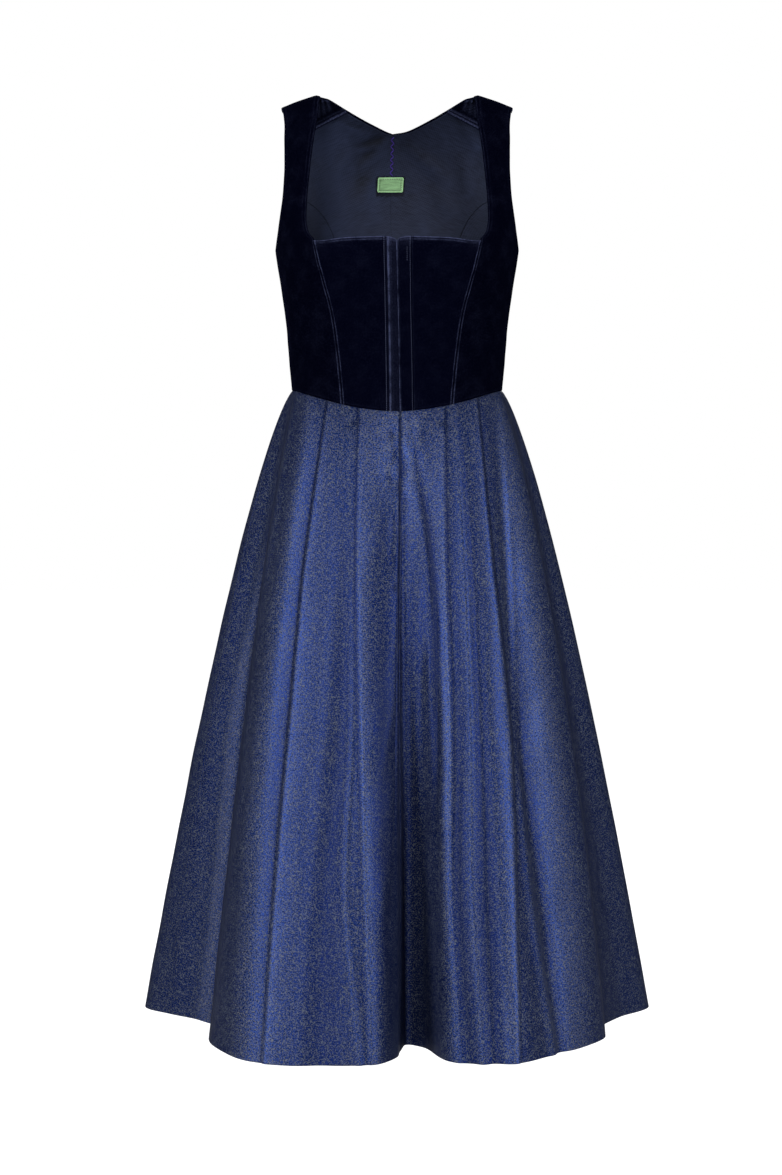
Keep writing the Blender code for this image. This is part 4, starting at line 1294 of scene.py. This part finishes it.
# %% Label
LABEL_TURN = 3.0
LABEL_LEVEL = -0.1030
LABEL_WIDTH = 33 * MM
LABEL_HEIGHT = 19.4 * MM
LABEL_RING = 0.158
LABEL_WALL = 0.9 * MM
LABEL_LEAN = 1.3 * MM
LABEL_ROUND = 2.2 * MM
LABEL_BORDER = 1.7 * MM
LABEL_LIFT = 0.3 * MM
LABEL_STITCH = 2.3 * MM
LABEL_STITCH_RADIUS = 0.46 * MM
LABEL_OUTSIDE = VELVET_WALL + LINING_WALL + 2 * SEAM_GAP


def fine_rim(length, count):
    """Distances over a small patch, finer near both ends."""
    ends = np.array((0, 0.3, 0.8)) * MM
    return np.concatenate([ends, np.linspace(1.5 * MM, length - 1.5 * MM, count), length - ends[::-1]])


across, up = fine_rim(LABEL_WIDTH, 40), fine_rim(LABEL_HEIGHT, 24)
from_ends = np.minimum(across, LABEL_WIDTH - across)[None, :]
rim = np.minimum(from_ends, np.minimum(up, LABEL_HEIGHT - up)[:, None])
x, y = np.meshgrid(across - LABEL_WIDTH / 2, up - LABEL_HEIGHT / 2)
over_x = np.clip(np.abs(x) - LABEL_WIDTH / 2 + LABEL_ROUND, 0, None)
over_y = np.clip(np.abs(y) - LABEL_HEIGHT / 2 + LABEL_ROUND, 0, None)
x = x - np.sign(x) * over_x * (1 - np.sqrt(1 - (over_y / LABEL_ROUND) ** 2 / 2))
y = y - np.sign(y) * over_y * (1 - np.sqrt(1 - (over_x / LABEL_ROUND) ** 2 / 2))
x = x + LABEL_LEAN * y / LABEL_HEIGHT
turn = np.pi + np.radians(LABEL_TURN) - x / LABEL_RING
level = LABEL_LEVEL + y
points = bodice_point(turn, level)
normals = bodice_normal(turn, level)
raised = 0.35 * MM * bell(rim, 0.9 * MM, 0.5 * MM) - 0.25 * MM * bell(rim, LABEL_BORDER, 0.45 * MM)
raised = raised - rounded(rim, 0.5 * MM)
# Painted highlight along the label's rolled rim and painted shade in the groove inside it.
light = 0.9 * bell(rim, 0.5 * MM, 0.7 * MM) - 0.40 * bell(rim, 2.6 * MM, 0.9 * MM)
depth = LABEL_OUTSIDE + LABEL_LIFT + crease_height(points, LINING_CREASES)
inside = points - normals * (depth + LABEL_WALL + raised)[..., None]
outside = points - normals * depth[..., None]
thread = np.stack(np.broadcast_arrays(across[None, :], up[:, None], 0.0 * turn), -1)
label = closed_sheet("label_patch", inside, outside, -normals, (label_cloth, label_cloth), thread, light)
edge_a = np.interp([LABEL_BORDER, LABEL_WIDTH - LABEL_BORDER], across, np.arange(len(across))).astype(int)
edge_u = np.interp([LABEL_BORDER, LABEL_HEIGHT - LABEL_BORDER], up, np.arange(len(up))).astype(int)
face = inside - normals * 0.1 * MM
loop = np.vstack([
    face[edge_u[0], edge_a[0]:edge_a[1]], face[edge_u[0]:edge_u[1], edge_a[1]],
    face[edge_u[1], edge_a[1]:edge_a[0]:-1], face[edge_u[1]:edge_u[0]:-1, edge_a[0]],
])
facing = np.broadcast_to(-normals[len(up) // 2, len(across) // 2], loop.shape).copy()
label_border = stitch_row("label_stitches", loop, facing, LABEL_STITCH, STITCH_SHARE,
                          LABEL_STITCH_RADIUS, label_thread, "label")
declare(label, "label", points)

# %% [markdown]
# ## The skirt form
#
# Long folds run from the waist to the hem. Each is a line with a turn at the waist seam
# and a place on the hem, and a smooth closed curve goes through all the lines at every
# height. Close lines turn tightly, far ones widely, because the curve's knots are spaced
# by the square root of the lines' distance.
#
# On that form ride softer folds, given in millimetres: the ridges and pleats, with a
# painted highlight where they would catch the light and a painted shade where they would
# lose it.

# %% Fold tables
FOLD_COLUMNS = ("name", "waist_turn", "hem_x", "hem_y", "sway", "late")
FOLD_LINES = (
    ("side_left", -90, -0.3205, 0.000, 0.000, 0.000),
    ("seam_left", -85, -0.2870, -0.037, -0.006, 0.000),
    ("inlet_left", -79, -0.2400, -0.076, 0.000, 0.000),
    ("pocket_left", -74, -0.2215, -0.108, 0.000, 0.000),
    ("corner_left", -71, -0.2275, -0.172, 0.000, 0.000),
    ("round_left", -66, -0.2130, -0.219, 0.000, 0.000),
    ("panel_left", -56, -0.1750, -0.272, 0.004, 0.000),
    ("crest_left", -40, -0.1200, -0.300, 0.006, 0.000),
    ("flat_left", -24, -0.0600, -0.300, 0.004, 0.000),
    ("lip_left", -9, -0.0180, -0.289, 0.000, 0.000),
    ("lip_center", -1, -0.0010, -0.262, 0.000, 0.024),
    ("wall_center", 1.5, 0.0040, -0.228, 0.000, 0.058),
    ("pocket_center", 4, 0.0120, -0.199, 0.000, 0.086),
    ("outlet_center", 8, 0.0300, -0.212, 0.000, 0.070),
    ("lip_right", 16, 0.0610, -0.278, 0.000, 0.000),
    ("flat_right", 32, 0.0980, -0.292, -0.004, 0.000),
    ("crest_right", 47, 0.1420, -0.287, -0.004, 0.000),
    ("panel_right", 58, 0.1900, -0.238, -0.004, 0.000),
    ("corner_right", 72, 0.2510, -0.163, 0.008, 0.000),
    ("pocket_right", 77, 0.2500, -0.112, 0.006, 0.000),
    ("inlet_right", 82, 0.2790, -0.055, 0.000, 0.000),
    ("side_right", 90, 0.3205, 0.000, 0.000, 0.000),
    ("back_crest_1", 103, 0.2990, 0.078, 0.000, 0.000),
    ("back_valley_1", 112, 0.2560, 0.104, 0.000, 0.000),
    ("back_crest_2", 119, 0.2450, 0.168, 0.000, 0.000),
    ("back_valley_2", 134, 0.1830, 0.202, 0.000, 0.000),
    ("back_crest_3", 142, 0.1520, 0.258, 0.000, 0.000),
    ("back_flat_3", 153, 0.0960, 0.277, 0.000, 0.000),
    ("back_valley_3", 164, 0.0500, 0.238, 0.000, 0.000),
    ("back_crest_4", 174, 0.0200, 0.278, 0.000, 0.000),
    ("back_flat_4", 186, -0.0350, 0.280, 0.000, 0.000),
    ("back_valley_4", 197, -0.0720, 0.241, 0.000, 0.000),
    ("back_crest_5", 206, -0.1080, 0.274, 0.000, 0.000),
    ("back_flat_5", 218, -0.1600, 0.250, 0.000, 0.000),
    ("back_valley_5", 228, -0.1860, 0.196, 0.000, 0.000),
    ("back_crest_6", 238, -0.2420, 0.176, 0.000, 0.000),
    ("back_valley_6", 249, -0.2600, 0.108, 0.000, 0.000),
    ("back_crest_7", 258, -0.3020, 0.072, 0.000, 0.000),
)
# A fold's kind is 0 for a soft ridge or furrow. It is 1 or -1 for a pleat, whose upper
# layer then lies to the right or to the left of its line. The five places x are given at
# the waist, at each quarter of the height and at the hem. How far it stands out, and its
# light, are given evenly from the waist to the hem. The columns are the fold's name,
# side, kind, places, width, out and light.
# The light column is painted light: a painted highlight above 0, a painted shade below.
SOFT_FOLDS = (
    ("streak_1", "front", 0, (-126, -160, -197, -216, -238), 11, (1, 3, 3), (0.3, 2.2, 1.7)),
    ("ridge_2", "front", 0, (-102, -131, -156, -171, -178), 21, (2, 5, 4), (0.7, 1.1, 1.1)),
    ("pleat_a", "front", 1, (-85, -111, -129, -145, -157), 20, (3, 5, 5), (0.5, 0.7, 0.7)),
    ("valley_3", "front", 0, (-61, -59, -66, -84, -92), 21, (-1, -4, -5), (0.1, -0.3, -0.8, -1.0, -0.8)),
    ("ridge_3b", "front", 0, (-52, -55, -54, -61, -44), 4, (0, 1.5, 2), (-0.3, 0.6, 0.6)),
    ("pleat_b", "front", 1, (-47, -50, -46, -41, -33), 11, (3, 5, 4), (0.6, 1.3, 1.2)),
    ("painted_top_light", "front", 0, (0, 0, 0, 0, 0), 60, (0, 0, 0), (1.3, 0.3, 0.0, -0.1, -0.2)),
    ("valley_4", "front", 0, (0, 4, 10, 14, 24), 28, (0, -3, 0), (0.0, -0.6, -1.0, -0.8, -0.5)),
    ("shade_4", "front", 0, (-18, -20, -18, -12, -4), 16, (0, -1, -2), (0.0, -0.8, -1.3, -1.1, -0.6)),
    ("pleat_d", "front", 0, (14, 41, 46, 44, 44), 7, (-1, -3, -1), (0.0, -2.6, -1.4, -0.2, 0.0)),
    ("pleat_e", "front", -1, (58, 60, 66, 66, 76), 10, (3, 5, 4), (0.5, 1.3, 1.0)),
    ("shade_6", "front", 0, (64, 66, 73, 74, 86), 8, (0, -1, -1), (0.0, -0.4, -1.0, -1.3, -1.1)),
    ("ridge_6", "front", 0, (70, 80, 86, 86, 100), 7, (1, 2, 3), (0.3, 0.3, 0.6)),
    ("valley_6", "front", 0, (76, 92, 100, 106, 114), 10, (-1, -3, -4), (-0.2, -0.6, -1.0, -1.4, -1.2)),
    ("pleat_f", "front", -1, (98, 115, 134, 140, 143), 11, (3, 5, 5), (0.4, 1.2, 1.1)),
    ("ridge_8b", "front", 0, (125, 136, 142, 155, 183), 5, (0, 1.5, 3), (0.0, 0.5, 0.6)),
    ("wedge_8", "front", 0, (124, 131, 143, 169, 191), 8, (0, -3, -4), (0.4, 0.4, -0.6, -0.5, -0.3)),
    ("ridge_8", "front", 0, (124, 150, 172, 194, 209), 26, (2, 5, 5), (0.8, 1.5, 1.7, 1.5, 1.2)),
    ("back_pleat_1", "back", -1, (92, 128, 150, 166, 178), 18, (3, 5, 5), (0.4, 0.9, 0.7)),
    ("back_valley_1", "back", 0, (70, 98, 112, 126, 134), 10, (-1, -3, -4), (0.0, -0.6, -0.7)),
    ("back_pleat_2", "back", -1, (48, 66, 76, 88, 96), 16, (3, 5, 5), (0.5, 0.8, 0.8)),
    ("back_valley_2", "back", 0, (28, 40, 46, 50, 50), 10, (0, -3, -4), (0.0, -0.7, -0.7)),
    ("back_pleat_3", "back", -1, (10, 12, 12, 8, 4), 16, (3, 5, 5), (0.6, 0.9, 0.7)),
    ("back_ridge_3", "back", 0, (-22, -26, -30, -28, -22), 9, (1, 3, 4), (0.2, 0.5, 0.5)),
    ("back_pleat_4", "back", 1, (-44, -58, -70, -82, -92), 18, (3, 5, 5), (0.4, 0.9, 0.8)),
    ("back_valley_4", "back", 0, (-66, -88, -104, -116, -130), 10, (-1, -3, -4), (0.0, -0.6, -0.8)),
    ("back_pleat_5", "back", 1, (-86, -118, -138, -156, -172), 18, (3, 5, 5), (0.3, 0.9, 0.7)),
)
PLEAT_ROLL = 3.0 * MM
PLEAT_FOOT = 0.9 * MM
# Painted shade: a line at a pleat's foot, a line along the closing seam that widens along the placket, and
# shade towards the skirt's sides.
FOOT_REACH = 0.5 * MM
FOOT_WIDTH = 1.8 * MM
FOOT_SHADE = 2.0
SEAM_SHADE_DEPTH = 3.0
SEAM_SHADE_WIDTH = 1.3 * MM
PLACKET_SHADE_WIDTH = 2.4 * MM
PLACKET_LEVEL = -0.605
SIDE_PAINTED_SHADE = 1.8
LATE_POWER = 1.6
WAIST_HALF_WIDTH = 0.1305
WAIST_FRONT_DEPTH = 0.0980
WAIST_BACK_DEPTH = 0.0930
WAIST_FULLNESS = 0.18
HEM_LEVEL = -1.1510
SKIRT_FLARE = 0.75
SKIRT_WALL = 1.4 * MM
FOLD = {name: np.array(column) for name, column in zip(FOLD_COLUMNS, zip(*FOLD_LINES))}
FOLD_NAMES = FOLD["name"].tolist()
HEM_POINTS = np.stack([FOLD["hem_x"], FOLD["hem_y"]], -1)
HEM_STEPS = np.linalg.norm(np.roll(HEM_POINTS, -1, axis=0) - HEM_POINTS, axis=1)
KNOTS = np.concatenate([[0], np.cumsum(np.sqrt(HEM_STEPS))])
print("fold lines:", len(FOLD_LINES), "softer folds:", len(SOFT_FOLDS))

# %% Skirt surface
def fold_rings(shares):
    """Fold lines at shares of the height: waist + (hem - waist) * share^0.75 + sway."""
    turn = np.radians(FOLD["waist_turn"])
    depth = np.where(np.cos(turn) >= 0, WAIST_FRONT_DEPTH, WAIST_BACK_DEPTH)
    sine, cosine = np.sin(turn), np.cos(turn)
    waist = np.stack([WAIST_HALF_WIDTH * sine, -depth * cosine * (1 + WAIST_FULLNESS * sine**2)], -1)
    share = np.asarray(shares, float)[:, None, None]
    rings = waist + (HEM_POINTS - waist) * share**SKIRT_FLARE
    rings[..., 0] += FOLD["sway"] * 4 * share[..., 0] * (1 - share[..., 0])
    rings[..., 1] += FOLD["late"] * (share[..., 0] ** LATE_POWER - share[..., 0] ** SKIRT_FLARE)
    return rings


def ring_curve(rings, places):
    """Closed cubic curve through the fold lines, with tangents fitted through three."""
    count = rings.shape[1]
    steps = np.diff(KNOTS)[None, :, None]
    chords = (np.roll(rings, -1, axis=1) - rings) / steps
    before, step_before = np.roll(chords, 1, axis=1), np.roll(steps, 1, axis=1)
    tangents = (before * steps + chords * step_before) / (steps + step_before)
    place = np.mod(places, KNOTS[-1])
    index = np.clip(np.searchsorted(KNOTS, place, side="right") - 1, 0, count - 1)
    following = (index + 1) % count
    step = (KNOTS[index + 1] - KNOTS[index])[None, :, None]
    f = (place - KNOTS[index])[None, :, None] / step
    start, end = rings[:, index], rings[:, following]
    leave, arrive = step * tangents[:, index], step * tangents[:, following]
    return (
        (2 * f**3 - 3 * f**2 + 1) * start + (f**3 - 2 * f**2 + f) * leave
        + (3 * f**2 - 2 * f**3) * end + (f**3 - f**2) * arrive
    )


def waist_turns(places):
    """Turn at the waist that belongs to each place along a ring, in radians."""
    turns = np.append(FOLD["waist_turn"], FOLD["waist_turn"][0] + 360)
    return np.radians(np.interp(np.mod(places, KNOTS[-1]), KNOTS, turns))


print("hem about", round(lengths_along(ring_curve(fold_rings([1.0]), KNOTS)[0])[-1], 2), "m round")


# %% Soft folds and pleats
def along_fold(share, values, unit=MM):
    """Smooth curve through values that are given evenly from the waist to the hem."""
    rows = np.array(values, float)[:, None] * unit
    return smooth_through(rows, share * (len(values) - 1))[..., 0]


def facing_share(outward, side):
    """1 where the cloth faces front (or back), falling to 0 where it turns to the side."""
    facing = -outward[..., 1] if side == "front" else outward[..., 1]
    return np.clip((facing - 0.15) / 0.45, 0, 1)


def pleat_profile(inward, width):
    """Section of a pleat: nothing below its edge, a quick round rise at the edge and a
    slow fall behind it, (1 - exp(-u / roll)) * exp(-u / width). u is the distance behind
    the edge, softened near zero as foot * log(1 + exp(u / foot))."""
    u = PLEAT_FOOT * np.logaddexp(0, inward / PLEAT_FOOT)
    return (1 - np.exp(-u / PLEAT_ROLL)) * np.exp(-u / width)


def soft_folds(plan, outward, share):
    """Height and painted light of the folds: ridges out * exp(-((x - line) / spread)^2) and
    pleats, whose edge gets a painted highlight and whose foot a painted shade, and a painted
    shade towards the sides."""
    height = np.zeros(plan.shape[:2])
    light = np.zeros(plan.shape[:2])
    for _, side, kind, x, width, out, lit in SOFT_FOLDS:
        away = plan[..., 0] - along_fold(share, x)
        spread = width * MM * (0.55 + 0.55 * share)
        seen = facing_share(outward, side)
        section = pleat_profile(away * kind, spread) if kind else bell(away, 0, spread)
        height += seen * along_fold(share, out) * section
        # Painted highlight on a ridge or pleat edge, painted shade where the light column is below 0.
        light += seen * along_fold(share, lit, 1.0) * section * (1.6 if kind else 1.0)
        # Painted shade line at a pleat's foot, fading towards the hem.
        foot = abs(kind) * (1 - share) * bell(away * kind, -FOOT_REACH, FOOT_WIDTH * (1 + share))
        light -= seen * FOOT_SHADE * foot
    # Painted shade towards the sides, where the skirt turns away.
    outer = np.clip(1 - np.abs(outward[..., 1]), 0, 1)
    return height, light - SIDE_PAINTED_SHADE * outer


# %% [markdown]
# ## What makes the skirt look sewn
#
# On the real skirt the cloth doubles back in a pleat, so one side stands a step above the
# other, and the step melts away lower down. The relief has that step, without the hidden
# layer, and a painted shade line at its foot near the waist. The closing goes on into the
# skirt as a short placket, whose edge puckers; a painted shade runs along the closing seam
# and widens along the placket. Down the middle and the sides run plain seams, and the hem
# is turned up inside.

# %% Fine relief of the skirt
# Each pull's x, z, tilt in degrees, length, width and height, in millimetres.
PUCKERS = (
    (-6, -424, 10, 7, 4, -1.6), (5, -418, -14, 9, 4, -1.0), (-3, -446, -12, 10, 4, -1.8),
    (9, -452, 16, 12, 4, -0.9), (7, -466, 26, 8, 4, -1.7), (4, -484, -8, 9, 4, -1.8),
    (-8, -474, 8, 12, 4, -1.1), (8, -508, -5, 12, 4, -1.2), (-4, -530, 3, 14, 4, -1.1),
    (14, -436, -10, 14, 6, 0.9), (-14, -455, 4, 18, 8, 0.7), (16, -478, -4, 18, 6, 0.8),
    (-6, -568, 4, 16, 4, -0.9), (-3, -607, 50, 5, 3, -2.0), (7, -560, -6, 16, 4, -0.7),
    (-52, -408, -58, 9, 3, -2.0), (56, -410, 50, 7, 3, -1.6), (30, -424, -12, 16, 6, -0.8),
)
RIPPLE_LENGTHS = (0.31, 0.19, 0.113)
WAVE_HEIGHT = 1.3 * MM
WAVE_FADE = 0.15
PUCKER_LIGHT = 0.9


def pucker_height(points, outward):
    """Small pulls beside the placket: bell curves, longer upright than across."""
    height = np.zeros(points.shape[:2])
    for x, z, tilt, length, width, out in PUCKERS:
        dx, dz = points[..., 0] - x * MM, points[..., 2] - z * MM
        slant = np.radians(tilt)
        u = dx * np.cos(slant) + dz * np.sin(slant)
        v = -dx * np.sin(slant) + dz * np.cos(slant)
        height += out * MM * np.exp(-((u / (width * MM)) ** 2) - (v / (length * MM)) ** 2)
    return height * facing_share(outward, "front")


def uneven_height(places, share):
    """Slow waves, no two alike, that keep the long folds from being perfect: a product of
    a wave round the ring and one down the skirt, fading at the waist."""
    around = ripple(places[None, :], (0.83, 0.47, 0.29), 1.1)
    down = ripple(share + 0.15 * places[None, :], RIPPLE_LENGTHS, 0.4)
    return WAVE_HEIGHT * around * down * np.clip(share / WAVE_FADE, 0, 1)


def skirt_points(places, shares):
    """Skirt surface at places along its rings and shares of its height, with normals."""
    share = np.asarray(shares, float)[:, None]
    rings = fold_rings(shares)
    plan = ring_curve(rings, places)
    nudge = 1e-4
    tangent = ring_curve(rings, places + nudge) - ring_curve(rings, places - nudge)
    tangent /= np.linalg.norm(tangent, axis=-1, keepdims=True)
    outward = np.stack([tangent[..., 1], -tangent[..., 0], np.zeros(tangent.shape[:2])], -1)
    top = waist_level(waist_turns(places))[None, :]
    level = top + (HEM_LEVEL - top) * share
    height, light = soft_folds(plan, outward, share)
    base = np.concatenate([plan + outward[..., :2] * height[..., None], level[..., None]], axis=-1)
    pulls = pucker_height(base, outward)
    # Painted shade in the pulls that sink in, and a faint painted highlight on those that rise.
    light = light + PUCKER_LIGHT * np.minimum(pulls, 0.2 * MM) / MM
    return base, outward, pulls + uneven_height(places, share), light


print("puckers:", len(PUCKERS))

# %% [markdown]
# ## The three skirt panels
#
# Two front panels meet at the middle seam, and one wide back panel closes the round.
# Each grid has a column every few millimetres at the hem and finer ones at the seams.

# %% Skirt panels
SKIRT_PANELS = (
    ("skirt_front_left", "seam_left", "wall_center", 1.7 * MM),
    ("skirt_front_right", "wall_center", "side_right", 1.9 * MM),
    ("skirt_back", "side_right", "seam_left", 2.8 * MM),
)
SKIRT_ROW_COUNT = 104
SEAM_ROLL = 0.8 * MM
HEM_ROLL = 0.9 * MM
HEM_DEPTH = 32 * MM
HEM_LINE_WIDTH = 1.6 * MM
SEAM_RIDGE_AT = 2.2 * MM
SEAM_RIDGE_WIDTH = 1.2 * MM
SEWN_RELIEF = 0.25 * MM
PLACKET_FADE = 4 * MM
PLACKET_WAVES = (0.071, 0.029, 0.0127)


def seam_places(first, last, step):
    """Places along the ring between two fold lines, one every step at the hem."""
    start = FOLD_NAMES.index(first)
    end = FOLD_NAMES.index(last)
    end += len(FOLD_NAMES) if end <= start else 0
    knots = np.concatenate([KNOTS[:-1], KNOTS + KNOTS[-1]])
    fine = np.linspace(knots[start], knots[end], 4001)
    length = lengths_along(ring_curve(fold_rings([1.0]), fine)[0])
    spaced = spread_steps(length[-1] + 2 * SEAM_LAP, step) - SEAM_LAP
    return np.interp(spaced, length, fine)


skirt_shares = np.linspace(0, 1, SKIRT_ROW_COUNT) ** 1.12
skirt_length = WAIST_SIDE_LEVEL - HEM_LEVEL
near_hem = 1 - np.array((5.0, 3.2, 2.0, 1.2, 0.6, 0.25)) * MM / skirt_length
near_waist = np.array((0.3, 0.8, 1.5, 2.6)) * MM / skirt_length
skirt_shares = np.unique(np.concatenate([skirt_shares, near_hem, near_waist]))
for node, first, last, step in SKIRT_PANELS:
    places = seam_places(first, last, step)
    base, outward, fine, light = skirt_points(places, skirt_shares)
    across = lengths_along(base, axis=1)
    along = lengths_along(base)
    from_seam = np.minimum(across, across[:, -1:] - across)
    from_hem = along[-1:] - along
    fine -= rounded(from_seam, SEAM_ROLL) + rounded(from_hem, HEM_ROLL)
    fine += SEWN_RELIEF * bell(from_seam, SEAM_RIDGE_AT, SEAM_RIDGE_WIDTH)
    fine -= SEWN_RELIEF * bell(from_hem, HEM_DEPTH, HEM_LINE_WIDTH)
    # Painted shade along the closing seam, wider along the open placket.
    if "front" in node:
        from_closing = across[:, -1:] - across if "left" in node else across
        open_part = np.clip((base[..., 2] - PLACKET_LEVEL) / PLACKET_FADE, 0, 1)
        loose = 0.6 + 0.4 * ripple(along, PLACKET_WAVES, 2.3)
        shade_width = SEAM_SHADE_WIDTH + (PLACKET_SHADE_WIDTH - SEAM_SHADE_WIDTH) * open_part * loose
        light -= SEAM_SHADE_DEPTH * bell(from_closing, 0, shade_width)
    outer = base + outward * fine[..., None]
    inner = base - outward * SKIRT_WALL
    away_from_edges = (from_seam > SEAM_ROLL) & (from_hem > HEM_ROLL)
    inner += outward * (np.minimum(fine, 0) * away_from_edges)[..., None]
    middle = across.shape[1] // 2
    thread = np.stack([across - across[:, middle:middle + 1], along, 0 * across], -1)
    cloth = (jacquard, jacquard_wrong_side)
    piece = closed_sheet(node + "_cloth", outer, inner, outward, cloth, thread, light)
    declare(piece, node, base)
